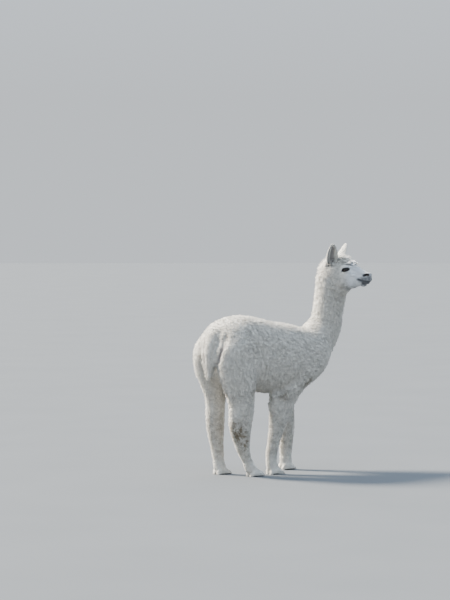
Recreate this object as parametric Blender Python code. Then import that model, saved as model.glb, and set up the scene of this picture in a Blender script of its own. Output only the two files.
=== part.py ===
"""A life-size still model of a standing huacaya alpaca that looks round to its right, in metres.

+X is the way the body faces, +Y is its left side and +Z is up. The soles stand on Z = 0.
The solids reach out to the tips of the fleece. The body is lofted and fused as one whole, and
then parted at the neck, the throat, the tops of the legs and the fetlocks by thin gaps.
"""

import math

import bmesh
import bpy
import numpy as np
from mathutils import Matrix, Vector

# ---------------------------------------------------------------- driving sizes
GAP = 0.0004  # left between neighbouring solids
SLEEVE_GAP = 0.0012  # left between a leg and the trunk
RING_POINTS = 28  # points round one lofted section
RINGS_BETWEEN = 4  # sections between two stations
TAIL_POINTS, EAR_POINTS = 14, 14  # points round a section of the tail and of an ear
SLEEVE_POINTS, SLEEVE_RINGS_BETWEEN = 16, 1  # the same for the sleeves that part the legs
FUSE_VOXEL = 0.006  # how finely the lofts are fused into one body
FUSE_SMOOTHING = 9  # rounds of smoothing that blend the joins
FUSED_TRIANGLES = 3550  # what the fused body is thinned to

# Trunk: distance forward of the hips' rear, height of the back, height of the belly, half width
TRUNK = (
    (-0.108, 0.822, 0.712, 0.062),
    (-0.090, 0.876, 0.664, 0.120),
    (-0.060, 0.918, 0.612, 0.166),
    (0.020, 0.955, 0.560, 0.194),
    (0.110, 0.968, 0.520, 0.204),
    (0.220, 0.953, 0.493, 0.211),
    (0.330, 0.927, 0.480, 0.214),
    (0.450, 0.911, 0.480, 0.206),
    (0.550, 0.888, 0.500, 0.192),
    (0.630, 0.866, 0.540, 0.174),
    (0.690, 0.852, 0.590, 0.148),
    (0.735, 0.832, 0.645, 0.112),
    (0.760, 0.806, 0.695, 0.070),
)
TRUNK_FULLNESS = 2.25  # 2 is an ellipse, and more is squarer

# Neck: centre X, Y, Z, half depth front to back, half width
NECK = (
    (0.590, 0.000, 0.690, 0.138, 0.138),
    (0.684, -0.004, 0.785, 0.132, 0.128),
    (0.748, -0.024, 0.880, 0.108, 0.108),
    (0.754, -0.044, 0.970, 0.101, 0.098),
    (0.756, -0.058, 1.060, 0.099, 0.095),
    (0.760, -0.068, 1.150, 0.098, 0.093),
    (0.762, -0.078, 1.220, 0.094, 0.090),
    (0.768, -0.088, 1.275, 0.074, 0.076),
)

# Legs: height, centre X, distance from the mid-plane, half depth, half width
HIND_RIGHT = (
    (0.885, 0.060, 0.085, 0.090, 0.066),
    (0.840, 0.044, 0.100, 0.126, 0.088),
    (0.780, 0.024, 0.112, 0.146, 0.100),
    (0.700, 0.012, 0.116, 0.148, 0.098),
    (0.600, 0.012, 0.122, 0.132, 0.090),
    (0.520, 0.024, 0.120, 0.110, 0.078),
    (0.440, 0.042, 0.118, 0.094, 0.067),
    (0.370, 0.041, 0.115, 0.088, 0.061),
    (0.300, 0.038, 0.111, 0.081, 0.055),
    (0.220, 0.048, 0.108, 0.060, 0.046),
    (0.140, 0.070, 0.105, 0.041, 0.037),
    (0.080, 0.104, 0.102, 0.037, 0.034),
    (0.035, 0.128, 0.100, 0.040, 0.032),
)
HIND_LEFT = (
    (0.885, 0.056, 0.085, 0.090, 0.066),
    (0.840, 0.040, 0.100, 0.130, 0.088),
    (0.780, 0.018, 0.112, 0.146, 0.100),
    (0.700, 0.004, 0.116, 0.145, 0.098),
    (0.600, 0.002, 0.121, 0.118, 0.086),
    (0.520, 0.014, 0.120, 0.090, 0.070),
    (0.440, 0.020, 0.118, 0.072, 0.058),
    (0.370, 0.018, 0.117, 0.067, 0.054),
    (0.300, 0.016, 0.115, 0.064, 0.051),
    (0.220, 0.019, 0.112, 0.053, 0.045),
    (0.140, 0.028, 0.108, 0.042, 0.038),
    (0.080, 0.035, 0.106, 0.039, 0.035),
    (0.035, 0.045, 0.105, 0.040, 0.032),
)
FRONT_RIGHT = (
    (0.740, 0.590, 0.100, 0.090, 0.060),
    (0.660, 0.560, 0.118, 0.108, 0.072),
    (0.580, 0.500, 0.114, 0.108, 0.074),
    (0.500, 0.400, 0.102, 0.118, 0.068),
    (0.430, 0.366, 0.090, 0.104, 0.060),
    (0.370, 0.358, 0.083, 0.082, 0.054),
    (0.310, 0.345, 0.081, 0.066, 0.050),
    (0.260, 0.330, 0.080, 0.055, 0.045),
    (0.200, 0.312, 0.080, 0.045, 0.040),
    (0.140, 0.297, 0.080, 0.041, 0.037),
    (0.080, 0.293, 0.080, 0.037, 0.035),
    (0.035, 0.306, 0.080, 0.040, 0.032),
)
FRONT_LEFT = (
    (0.740, 0.590, 0.100, 0.090, 0.060),
    (0.660, 0.572, 0.118, 0.108, 0.072),
    (0.580, 0.556, 0.114, 0.104, 0.072),
    (0.500, 0.540, 0.102, 0.088, 0.064),
    (0.430, 0.530, 0.092, 0.072, 0.056),
    (0.370, 0.526, 0.086, 0.066, 0.051),
    (0.310, 0.530, 0.082, 0.061, 0.048),
    (0.250, 0.532, 0.080, 0.057, 0.045),
    (0.180, 0.529, 0.080, 0.049, 0.040),
    (0.120, 0.526, 0.080, 0.044, 0.038),
    (0.080, 0.524, 0.080, 0.040, 0.036),
    (0.035, 0.528, 0.080, 0.040, 0.032),
)

# Tail: height, centre X, centre Y, half depth, half width
TAIL = (
    (0.918, -0.036, -0.006, 0.024, 0.036),
    (0.885, -0.080, -0.010, 0.038, 0.050),
    (0.820, -0.118, -0.015, 0.044, 0.057),
    (0.740, -0.134, -0.022, 0.043, 0.055),
    (0.670, -0.136, -0.026, 0.037, 0.048),
    (0.605, -0.130, -0.028, 0.028, 0.037),
    (0.565, -0.124, -0.028, 0.015, 0.020),
)

# Head, about the point midway between the eyes: forward, left and up along the head
EYE_LINE = Vector((0.820, -0.165, 1.230))
HEAD_TURN = math.radians(-60)  # the head looks this far to the right of the body
EYE_OUT, EYE_RADIUS = 0.0445, 0.0205
# Face: distance forward, height of the top, height of the underside, half width
FACE = (
    (-0.075, 0.058, -0.112, 0.058),
    (-0.035, 0.062, -0.122, 0.064),
    (0.000, 0.052, -0.122, 0.061),
    (0.030, 0.040, -0.116, 0.054),
    (0.060, 0.021, -0.106, 0.044),
    (0.090, 0.003, -0.098, 0.036),
    (0.118, -0.011, -0.093, 0.032),
    (0.136, -0.024, -0.084, 0.027),
)
# Rounded masses of the head: forward, up, offset to each side, and the three half sizes
HEAD_MASSES = (
    ("cranium", -0.070, 0.010, 0.000, 0.080, 0.070, 0.070),
    ("topknot", -0.050, 0.052, 0.000, 0.062, 0.058, 0.044),
    ("forelock", 0.006, 0.046, 0.000, 0.044, 0.040, 0.022),
    ("throat_wool", -0.070, -0.085, 0.000, 0.075, 0.072, 0.075),
    ("cheek", -0.018, -0.062, 0.036, 0.062, 0.034, 0.052),
    ("brow", 0.002, 0.020, 0.040, 0.028, 0.020, 0.014),
    ("nose_pad", 0.122, -0.040, 0.012, 0.023, 0.020, 0.021),
    ("upper_lip", 0.112, -0.064, 0.011, 0.028, 0.021, 0.018),
    ("chin", 0.098, -0.087, 0.000, 0.028, 0.022, 0.017),
)

# Ears: base and tip about the eye line for the left ear, and the way its hollow faces
EAR_BASE = Vector((-0.098, 0.042, 0.030))
EAR_TIP = Vector((-0.053, 0.106, 0.155))
EAR_FACES = Vector((0.50, 0.86, -0.10))
# Share of the way up, half width, half thickness
EAR = (
    (0.00, 0.024, 0.018),
    (0.20, 0.033, 0.018),
    (0.42, 0.036, 0.016),
    (0.65, 0.030, 0.013),
    (0.84, 0.019, 0.009),
    (0.96, 0.008, 0.005),
)
EAR_BOWL = (0.021, 0.021, 0.058)  # half sizes of the hollow: half width, depth, half height

# Feet
FETLOCK = 0.062  # where the foot parts from the leg
FOOT_VOXEL, FOOT_SMOOTHING, FOOT_TRIANGLES = 0.003, 4, 140
TOE_SPREAD = 0.0180  # distance of each toe from the foot's middle line
TOE_LENGTH = 0.092  # from the heel to the end of the toe
# Share of the way from heel to toe end, half width and height of one toe
TOE = (
    (0.00, 0.012, 0.036),
    (0.18, 0.017, 0.052),
    (0.45, 0.0175, 0.050),
    (0.72, 0.0165, 0.038),
    (0.92, 0.0140, 0.027),
    (1.00, 0.0090, 0.018),
)
SOLE_TRIM = 0.003  # cut off level under each toe
NAIL_LENGTH, NAIL_HALF_WIDTH, NAIL_HEIGHT = 0.024, 0.0085, 0.017
NAIL_BEYOND = 0.010  # how far a nail runs on past its toe
# Where each foot's toes end, forward and out to the side
TOES = {
    "hind_right": (0.205, 0.100),
    "hind_left": (0.108, 0.105),
    "front_right": (0.369, 0.080),
    "front_left": (0.582, 0.080),
}
LEGS = {
    "hind_right": (-1, HIND_RIGHT),
    "hind_left": (1, HIND_LEFT),
    "front_right": (-1, FRONT_RIGHT),
    "front_left": (1, FRONT_LEFT),
}

# Sleeves that part each leg from the trunk: height, middle X, half length, nearest and
# farthest distance from the mid-plane
HIND_SLEEVE = (
    (0.790, 0.020, 0.060, 0.165, 0.250),
    (0.760, 0.010, 0.120, 0.135, 0.260),
    (0.700, 0.000, 0.155, 0.100, 0.260),
    (0.600, 0.008, 0.155, 0.060, 0.260),
    (0.520, 0.020, 0.145, 0.022, 0.260),
    (0.450, 0.032, 0.145, 0.004, 0.260),
    (-0.050, 0.055, 0.180, 0.004, 0.260),
)
FRONT_SLEEVES = {
    "front_right": (
        (0.700, 0.570, 0.050, 0.165, 0.250),
        (0.670, 0.560, 0.090, 0.135, 0.255),
        (0.600, 0.520, 0.140, 0.080, 0.260),
        (0.530, 0.460, 0.180, 0.030, 0.260),
        (0.460, 0.410, 0.170, 0.004, 0.260),
        (-0.050, 0.370, 0.122, 0.004, 0.260),
    ),
    "front_left": (
        (0.700, 0.570, 0.050, 0.165, 0.250),
        (0.670, 0.565, 0.090, 0.135, 0.255),
        (0.600, 0.555, 0.130, 0.080, 0.260),
        (0.530, 0.550, 0.150, 0.030, 0.260),
        (0.460, 0.550, 0.150, 0.004, 0.260),
        (-0.050, 0.550, 0.150, 0.004, 0.260),
    ),
}

# Planes that part the neck from the trunk and the head from the neck: a point and the way up
NECK_CUT = (Vector((0.660, 0.0, 0.905)), Vector((0.42, 0.0, 0.91)))
HEAD_CUT = (Vector((-0.092, 0.0, -0.060)), Vector((0.80, 0.0, 0.60)))

FLEECE_COLOUR, FACE_COLOUR = (0.80, 0.77, 0.69), (0.78, 0.77, 0.74)
EYE_COLOUR, NAIL_COLOUR = (0.02, 0.015, 0.012), (0.30, 0.25, 0.20)


# ---------------------------------------------------------------- shape tools
def clear_scene():
    for old in list(bpy.data.objects):
        bpy.data.objects.remove(old)


def material(name, colour, roughness):
    made = bpy.data.materials.new(name)
    made.use_nodes = True
    surface = made.node_tree.nodes["Principled BSDF"]
    surface.inputs["Base Color"].default_value = (*colour, 1.0)
    surface.inputs["Roughness"].default_value = roughness
    return made


def filled_in(stations, between=RINGS_BETWEEN):
    """The stations with a smooth run of sections between each two, by Catmull-Rom."""
    rows = np.array(stations, float)
    padded = np.vstack([2 * rows[0] - rows[1], rows, 2 * rows[-1] - rows[-2]])
    found = []
    for i in range(1, len(padded) - 2):
        before, start, end, after = padded[i - 1 : i + 3]
        for step in range(between):
            t = step / between
            found.append(
                0.5
                * (
                    2 * start
                    + (end - before) * t
                    + (2 * before - 5 * start + 4 * end - after) * t**2
                    + (3 * start - before - 3 * end + after) * t**3
                )
            )
    return [*found, rows[-1]]


def section(centre, across, up, half_across, half_up, fullness=2.0, points=RING_POINTS):
    """A closed loop of points round a superellipse."""
    loop = []
    for i in range(points):
        angle = 2 * math.pi * i / points
        c, s = math.cos(angle), math.sin(angle)
        a = math.copysign(abs(c) ** (2 / fullness), c) * half_across
        b = math.copysign(abs(s) ** (2 / fullness), s) * half_up
        loop.append(centre + across * a + up * b)
    return loop


def link(name, mesh, surface=None, helper=False):
    made = bpy.data.objects.new(name, mesh)
    bpy.context.scene.collection.objects.link(made)
    if surface:
        mesh.materials.append(surface)
    if helper:
        made.hide_render = True
        made.display_type = "WIRE"
    return made


def loft(loops):
    """A closed mesh through the loops, whose ends are rounded off by a shrunken loop and a pole."""
    bm = bmesh.new()
    first = sum(loops[0], Vector()) / len(loops[0])
    second = sum(loops[1], Vector()) / len(loops[1])
    last = sum(loops[-1], Vector()) / len(loops[-1])
    but_last = sum(loops[-2], Vector()) / len(loops[-2])
    start_reach = min((p - first).length for p in loops[0]) * 0.55
    end_reach = min((p - last).length for p in loops[-1]) * 0.55
    start_way = (first - second).normalized() * start_reach
    end_way = (last - but_last).normalized() * end_reach
    capped = [
        [first + (p - first) * 0.72 + start_way * 0.75 for p in loops[0]],
        *loops,
        [last + (p - last) * 0.72 + end_way * 0.75 for p in loops[-1]],
    ]
    rows = [[bm.verts.new(p) for p in loop] for loop in capped]
    for low, high in zip(rows, rows[1:]):
        for i in range(len(low)):
            j = (i + 1) % len(low)
            bm.faces.new((low[i], low[j], high[j], high[i]))
    for row, pole in ((rows[0], first + start_way), (rows[-1], last + end_way)):
        tip = bm.verts.new(pole)
        for i in range(len(row)):
            bm.faces.new((row[i], row[(i + 1) % len(row)], tip))
    bmesh.ops.recalc_face_normals(bm, faces=bm.faces)
    bmesh.ops.triangulate(bm, faces=bm.faces)
    mesh = bpy.data.meshes.new("loft")
    bm.to_mesh(mesh)
    bm.free()
    return mesh


def ellipsoid(matrix, half_sizes, segments=28, rings=18):
    mesh = bpy.data.meshes.new("ellipsoid")
    bm = bmesh.new()
    bmesh.ops.create_uvsphere(bm, u_segments=segments, v_segments=rings, radius=1.0)
    bmesh.ops.transform(bm, matrix=matrix @ Matrix.Diagonal((*half_sizes, 1.0)), verts=bm.verts)
    bm.to_mesh(mesh)
    bm.free()
    return mesh


def block(matrix, half_sizes):
    mesh = bpy.data.meshes.new("block")
    bm = bmesh.new()
    bmesh.ops.create_cube(bm, size=2.0)
    bmesh.ops.transform(bm, matrix=matrix @ Matrix.Diagonal((*half_sizes, 1.0)), verts=bm.verts)
    bm.to_mesh(mesh)
    bm.free()
    return mesh


def swollen(mesh, by=GAP):
    """A copy of a mesh whose faces stand out by a little, used to cut its neighbour."""
    copy = mesh.copy()
    bm = bmesh.new()
    bm.from_mesh(copy)
    bm.normal_update()
    for vert, way in [(v, v.normal.copy()) for v in bm.verts]:
        vert.co += way * by
    bm.to_mesh(copy)
    bm.free()
    return copy


def cut(target, helper, operation="DIFFERENCE"):
    boolean = target.modifiers.new(operation.lower(), "BOOLEAN")
    boolean.operation = operation
    boolean.object = helper
    boolean.solver = "EXACT"


def evaluated_mesh(made):
    bpy.context.view_layer.update()
    graph = bpy.context.evaluated_depsgraph_get()
    return bpy.data.meshes.new_from_object(made.evaluated_get(graph))


# ---------------------------------------------------------------- lofted forms
def trunk_form():
    loops = []
    for x, top, bottom, half_width in filled_in(TRUNK):
        centre = Vector((x, 0, (top + bottom) / 2))
        half_height = (top - bottom) / 2
        up, left = Vector((0, 0, 1)), Vector((0, 1, 0))
        loops.append(section(centre, left, up, half_width, half_height, TRUNK_FULLNESS))
    return loft(loops)


def neck_form():
    rows = filled_in(NECK)
    loops = []
    for i, row in enumerate(rows):
        low, high = rows[max(i - 1, 0)], rows[min(i + 1, len(rows) - 1)]
        along = Vector(high[:3] - low[:3]).normalized()
        side = along.cross(Vector((1, 0, 0))).normalized()
        ahead = side.cross(along).normalized()
        loops.append(section(Vector(row[:3]), ahead, side, row[3], row[4]))
    return loft(loops)


def upright_form(stations, side=1, between=RINGS_BETWEEN, points=RING_POINTS):
    """A leg or the tail, whose sections are level. Stations hold height, X, Y and half sizes."""
    ahead, left = Vector((1, 0, 0)), Vector((0, 1, 0))
    loops = []
    for z, x, y, half_depth, half_width in filled_in(stations, between):
        centre = Vector((x, side * y, z))
        loops.append(section(centre, ahead, left, half_depth, half_width, points=points))
    return loft(loops)


def sleeve_form(stations, side):
    loops = []
    for z, x, half_length, inner, outer in filled_in(stations, SLEEVE_RINGS_BETWEEN):
        centre = Vector((x, side * (inner + outer) / 2, z))
        half_width = (outer - inner) / 2
        ahead, left = Vector((1, 0, 0)), Vector((0, 1, 0))
        loops.append(section(centre, ahead, left, half_length, half_width, 2.8, SLEEVE_POINTS))
    return loft(loops)


def head_matrix():
    return Matrix.Translation(EYE_LINE) @ Matrix.Rotation(HEAD_TURN, 4, "Z")


def face_form():
    place = head_matrix()
    turned = place.to_3x3()
    loops = []
    for ahead, top, bottom, half_width in filled_in(FACE):
        centre = place @ Vector((ahead, 0, (top + bottom) / 2))
        across, up = turned @ Vector((0, 1, 0)), Vector((0, 0, 1))
        loops.append(section(centre, across, up, half_width, (top - bottom) / 2, 2.2))
    return loft(loops)


def head_masses():
    made = []
    for _, ahead, up, out, *half_sizes in HEAD_MASSES:
        for side in (-1, 1) if out else (1,):
            place = head_matrix() @ Matrix.Translation((ahead, side * out, up))
            made.append(ellipsoid(place, half_sizes))
    return made


def fused(forms, voxel, smoothing, triangles):
    """Closed forms that overlap, fused into one smooth mesh and thinned."""
    bm = bmesh.new()
    for form in forms:
        bm.from_mesh(form)
    mesh = bpy.data.meshes.new("forms")
    bm.to_mesh(mesh)
    bm.free()
    whole = link("forms", mesh, helper=True)
    fuse = whole.modifiers.new("fuse", "REMESH")
    fuse.mode = "VOXEL"
    fuse.voxel_size = voxel
    blend = whole.modifiers.new("blend", "SMOOTH")
    blend.factor = 0.5
    blend.iterations = smoothing
    dense = evaluated_mesh(whole)
    thin = whole.modifiers.new("thin", "DECIMATE")
    thin.ratio = triangles / sum(len(p.vertices) - 2 for p in dense.polygons)
    made = evaluated_mesh(whole)
    bpy.data.objects.remove(whole)
    return made


def fused_body():
    forms = [trunk_form(), neck_form(), face_form(), *head_masses()]
    forms += [upright_form(stations, side) for side, stations in LEGS.values()]
    return fused(forms, FUSE_VOXEL, FUSE_SMOOTHING, FUSED_TRIANGLES)


def foot_form(name):
    """Two toes side by side under the end of the leg."""
    side, stations = LEGS[name]
    ahead, out = TOES[name]
    across, up = Vector((0, 1, 0)), Vector((0, 0, 1))
    forms = [upright_form(stations[-3:], side)]
    for offset in (-TOE_SPREAD, TOE_SPREAD):
        loops = []
        for share, half_width, height in filled_in(TOE):
            x = ahead + TOE_LENGTH * (share - 1)
            centre = Vector((x, side * out + offset, height / 2 - SOLE_TRIM))
            loops.append(section(centre, across, up, half_width, height / 2, 2.3))
        forms.append(loft(loops))
    return fused(forms, FOOT_VOXEL, FOOT_SMOOTHING, FOOT_TRIANGLES)


# ---------------------------------------------------------------- nodes
def node(name, mesh, surface):
    made = link(name, mesh.copy(), surface)
    made.data.shade_smooth()
    return made


def half_space(name, point, normal, offset=0.0):
    """A big block that fills the side of a plane that its normal points to."""
    size = 1.5
    turn = normal.to_track_quat("Z", "Y").to_matrix().to_4x4()
    place = Matrix.Translation(point + normal.normalized() * (size + offset)) @ turn
    return link(name, block(place, (size, size, size)), helper=True)


def ear_mesh(side):
    """A leaf-shaped ear with a hollow front."""
    place = head_matrix()
    turned = place.to_3x3()
    mirror = Matrix.Diagonal((1, side, 1))
    base, tip = (place @ (mirror @ point) for point in (EAR_BASE, EAR_TIP))
    along = (tip - base).normalized()
    faces = turned @ (mirror @ EAR_FACES)
    faces = (faces - along * faces.dot(along)).normalized()
    across = along.cross(faces)
    loops = []
    for share, half_width, half_thick in filled_in(EAR, 1):
        middle = base.lerp(tip, share)
        loops.append(section(middle, across, faces, half_width, half_thick, 2.2, EAR_POINTS))
    leaf = link("ear_leaf", loft(loops), helper=True)
    axes = Matrix((across, faces, along)).transposed().to_4x4()
    middle = base.lerp(tip, 0.50) + faces * (EAR_BOWL[1] * 0.92)
    hollow = ellipsoid(Matrix.Translation(middle) @ axes, EAR_BOWL, EAR_POINTS, 10)
    bowl = link("ear_bowl", hollow, helper=True)
    cut(leaf, bowl)
    made = evaluated_mesh(leaf)
    for helper in (leaf, bowl):
        bpy.data.objects.remove(helper)
    return made


def nail_mesh(tip, side_offset):
    """A small arched nail at a toe's end: a loft from its hidden root to its blunt tip."""
    loops = []
    for share, size in ((0.0, 1.0), (0.65, 0.88), (1.0, 0.36)):
        height = NAIL_HEIGHT * size * (1 - 0.35 * share)
        along = NAIL_BEYOND - NAIL_LENGTH * (1 - share)
        centre = tip + Vector((along, side_offset, height * 0.5 + GAP))
        left, up = Vector((0, 1, 0)), Vector((0, 0, 1))
        loops.append(section(centre, left, up, NAIL_HALF_WIDTH * size, height * 0.5, 2.4, 8))
    bm = bmesh.new()
    rows = [[bm.verts.new(p) for p in loop] for loop in loops]
    for low, high in zip(rows, rows[1:]):
        for i in range(len(low)):
            j = (i + 1) % len(low)
            bm.faces.new((low[i], low[j], high[j], high[i]))
    bm.faces.new(rows[0])
    bm.faces.new(rows[-1])
    bmesh.ops.recalc_face_normals(bm, faces=bm.faces)
    mesh = bpy.data.meshes.new("nail")
    bm.to_mesh(mesh)
    bm.free()
    return mesh


def make_nodes():
    fleece = material("fleece", FLEECE_COLOUR, 0.9)
    face = material("face_hair", FACE_COLOUR, 0.8)
    eye = material("eye", EYE_COLOUR, 0.08)
    horn = material("nail_horn", NAIL_COLOUR, 0.45)
    body = fused_body()
    place = head_matrix()
    turned = place.to_3x3()

    above_neck = half_space("neck_space", *NECK_CUT)
    above_neck_gap = half_space("neck_space_gap", *NECK_CUT, offset=-GAP)
    throat = place @ HEAD_CUT[0], turned @ HEAD_CUT[1]
    past_throat = half_space("head_space", *throat)
    past_throat_gap = half_space("head_space_gap", *throat, offset=-GAP)

    trunk = node("trunk", body, fleece)
    cut(trunk, above_neck_gap)
    neck = node("neck", body, fleece)
    cut(neck, above_neck, "INTERSECT")
    cut(neck, past_throat_gap)
    head = node("head", body, face)
    cut(head, past_throat, "INTERSECT")

    tail = node("tail", upright_form(TAIL, 1, 1, TAIL_POINTS), fleece)
    cut(trunk, link("tail_gap", swollen(tail.data), helper=True))

    for side, word in ((1, "left"), (-1, "right")):
        leaf = ear_mesh(side)
        node("ear_" + word, leaf, face)
        gap = link(f"ear_gap_{word}", swollen(leaf), helper=True)
        for cut_by_ear in (head, neck):
            cut(cut_by_ear, gap)
        at = place @ Matrix.Translation((0, side * EYE_OUT, 0))
        ball = ellipsoid(at, (EYE_RADIUS,) * 3, 14, 8)
        node("eye_" + word, ball, eye)
        cut(head, link(f"eye_gap_{word}", swollen(ball), helper=True))

    between = Matrix.Translation((0.3, 0, FETLOCK / 2))
    foot_space = link("foot_space", block(between, (1, 1, FETLOCK / 2)), helper=True)
    raised = Matrix.Translation((0.3, 0, FETLOCK + GAP - 0.5))
    under_leg = link("under_leg", block(raised, (1, 1, 0.5)), helper=True)
    for name, (side, _) in LEGS.items():
        form = sleeve_form(FRONT_SLEEVES.get(name, HIND_SLEEVE), side)
        sleeve = link(f"sleeve_{name}", form, helper=True)
        cut(trunk, link(f"sleeve_gap_{name}", swollen(form, SLEEVE_GAP), helper=True))
        leg = node("leg_" + name, body, fleece)
        cut(leg, sleeve, "INTERSECT")
        cut(leg, under_leg)
        foot = node("foot_" + name, foot_form(name), face)
        cut(foot, foot_space, "INTERSECT")
        ahead, out = TOES[name]
        toe_end = Vector((ahead, side * out, 0))
        for offset, word in ((TOE_SPREAD, "left"), (-TOE_SPREAD, "right")):
            horn_mesh = nail_mesh(toe_end, offset)
            node(f"nail_{name}_{word}", horn_mesh, horn)
            cut(foot, link(f"nail_gap_{name}_{word}", swollen(horn_mesh), helper=True))


def centre_on_origin():
    """Moves all of it so that the origin is under the middle of its box, at the soles."""
    shown = [o for o in bpy.data.objects if not o.hide_render]
    bpy.context.view_layer.update()
    graph = bpy.context.evaluated_depsgraph_get()
    corners = []
    for o in shown:
        evaluated = o.evaluated_get(graph)
        corners += [evaluated.matrix_world @ v.co for v in evaluated.data.vertices]
    points = np.array(corners)
    low, high = points.min(axis=0), points.max(axis=0)
    shift = Vector((-(low[0] + high[0]) / 2, -(low[1] + high[1]) / 2, -low[2]))
    for o in bpy.data.objects:
        o.location += shift


clear_scene()
make_nodes()
centre_on_origin()
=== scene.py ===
"""Looks of the standing alpaca: one skin, a modelled head, eyes, claws and fleece around the solids."""

import math

import bmesh
import bpy
import numpy as np
from mathutils import Matrix, Vector
from mathutils.bvhtree import BVHTree
from mathutils.kdtree import KDTree


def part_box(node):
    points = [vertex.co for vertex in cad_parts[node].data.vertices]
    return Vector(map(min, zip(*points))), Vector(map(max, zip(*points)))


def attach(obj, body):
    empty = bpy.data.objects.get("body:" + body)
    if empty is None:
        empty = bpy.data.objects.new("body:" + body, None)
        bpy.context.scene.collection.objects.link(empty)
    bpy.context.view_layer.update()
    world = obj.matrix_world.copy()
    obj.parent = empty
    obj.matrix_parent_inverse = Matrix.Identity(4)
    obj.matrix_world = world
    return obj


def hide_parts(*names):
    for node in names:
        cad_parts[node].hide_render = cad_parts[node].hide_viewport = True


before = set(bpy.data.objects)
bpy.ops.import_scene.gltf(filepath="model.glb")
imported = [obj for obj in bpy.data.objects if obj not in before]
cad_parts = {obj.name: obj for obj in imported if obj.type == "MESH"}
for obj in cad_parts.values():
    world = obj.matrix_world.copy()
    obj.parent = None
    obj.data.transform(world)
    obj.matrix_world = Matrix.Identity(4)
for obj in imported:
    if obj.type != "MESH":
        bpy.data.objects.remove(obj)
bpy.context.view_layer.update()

# ---------------------------------------------------------------- places taken from the solids


def middle_of(node):
    low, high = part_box(node)
    return (low + high) / 2


EYE_AT = {side: middle_of(f"eye_{side}") for side in ("left", "right")}
EYE_RADIUS = (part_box("eye_left")[1].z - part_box("eye_left")[0].z) / 2
HEAD_ORIGIN = (EYE_AT["left"] + EYE_AT["right"]) / 2  # midway between the eyes
HEAD_LEFT = (EYE_AT["left"] - EYE_AT["right"]).normalized()
HEAD_AHEAD = HEAD_LEFT.cross(Vector((0, 0, 1)))
HEAD = Matrix((HEAD_AHEAD, HEAD_LEFT, Vector((0, 0, 1)))).transposed().to_4x4()
HEAD.translation = HEAD_ORIGIN
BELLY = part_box("trunk")[0].z

ENDS, SIDES = ("front", "hind"), ("left", "right")
LEGS = tuple(f"leg_{end}_{side}" for end in ENDS for side in SIDES)
FEET = tuple(leg.replace("leg", "foot") for leg in LEGS)
FLESH = ("trunk", "neck", "tail", *LEGS)
SKINNED = (*FLESH, *FEET, "head", "ear_left", "ear_right")
NAILS = tuple(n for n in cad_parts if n.startswith("nail_"))

# ---------------------------------------------------------------- driving sizes
CAMERA_FROM_EYES = Vector((-8.928, -10.995, 0.340))
CAMERA_HEADING = math.radians(36.017)  # from +Y towards +X
CAMERA_DIP = math.radians(2.13)  # below level
LENS, SENSOR = 138.6, 36.0  # millimetres

# Key light: where it stands from +Y towards +X and above level, and how wide it looks, in degrees
KEY_HEADING, KEY_HEIGHT, KEY_SPREAD = -35, 40, 15
KEY_STRENGTH, KEY_COLOUR = 19.5, (1.0, 0.92, 0.79)
SKY_LOW, SKY_HIGH = (0.72, 0.765, 0.81, 1), (1.90, 2.34, 2.88, 1)
FLOOR_DARK, FLOOR_LIGHT = (0.094, 0.103, 0.113, 1), (0.102, 0.111, 0.121, 1)
FLOOR_RADIUS = 60

JOIN = 0.0012  # how far each solid swells so that neighbours meet
BODY_VOXEL, SKIN_VOXEL, FOOT_VOXEL, HEAD_VOXEL, COAT_VOXEL = 0.0045, 0.0075, 0.0026, 0.0019, 0.0035
NECK_BASE = Vector((0.293, 0.043, 0.905))  # middle of the plane where the neck leaves the trunk
NECK_BASE_UP = Vector((0.42, 0.0, 0.91))
NECK_EASED = (0.150, 0.060)  # how far from that plane the skin is evened out
# Coat depth by height above the floor, from the soles to the trunk
COAT_HEIGHTS = (0.0, 0.006, 0.04, 0.09, 0.20, 0.34, 0.50)
COAT_DEPTHS = (0.0, 0.0012, 0.003, 0.007, 0.012, 0.017, 0.025)
TAIL_COAT = 0.020
# Folds of the coat: a path, the half width of the fold, its depth, and how much brown painted shade darkens
# it.
# In turn: right and left of the tail, before the thighs, and above the elbows
FOLDS = (
    (((-0.425, -0.066, 0.880), (-0.452, -0.076, 0.840), (-0.476, -0.086, 0.797), (-0.496, -0.076, 0.733),
      (-0.500, -0.046, 0.672), (-0.494, -0.044, 0.620), (-0.484, -0.060, 0.575)), 0.010, 0.019, 1.0),
    (((-0.500, 0.062, 0.870), (-0.525, 0.040, 0.800), (-0.537, 0.026, 0.710), (-0.530, 0.026, 0.620)),
     0.014, 0.011, 0.60),
    (((-0.225, -0.165, 0.80), (-0.222, -0.170, 0.74), (-0.215, -0.158, 0.67), (-0.200, -0.135, 0.60),
      (-0.190, -0.100, 0.54)), 0.020, 0.011, 0.0),
    (((-0.225, 0.210, 0.80), (-0.222, 0.225, 0.74), (-0.215, 0.215, 0.67), (-0.200, 0.190, 0.60),
      (-0.190, 0.160, 0.54)), 0.020, 0.011, 0.0),
    (((0.060, -0.160, 0.62), (0.020, -0.135, 0.56), (-0.030, -0.105, 0.52), (-0.075, -0.080, 0.50)),
     0.018, 0.010, 0.15),
    (((0.060, 0.200, 0.62), (0.020, 0.180, 0.56), (-0.030, 0.150, 0.52), (-0.075, 0.130, 0.50)),
     0.018, 0.010, 0.15),
)
# Painted shade: these folds are darkened with the grey of the ears' insides
SHADED_FOLDS = FOLDS[:2]  # those beside the tail, where hardly any light comes in
FOOT_OVERLAP = 0.030  # how far the skin of a foot runs on up inside the leg's

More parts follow.
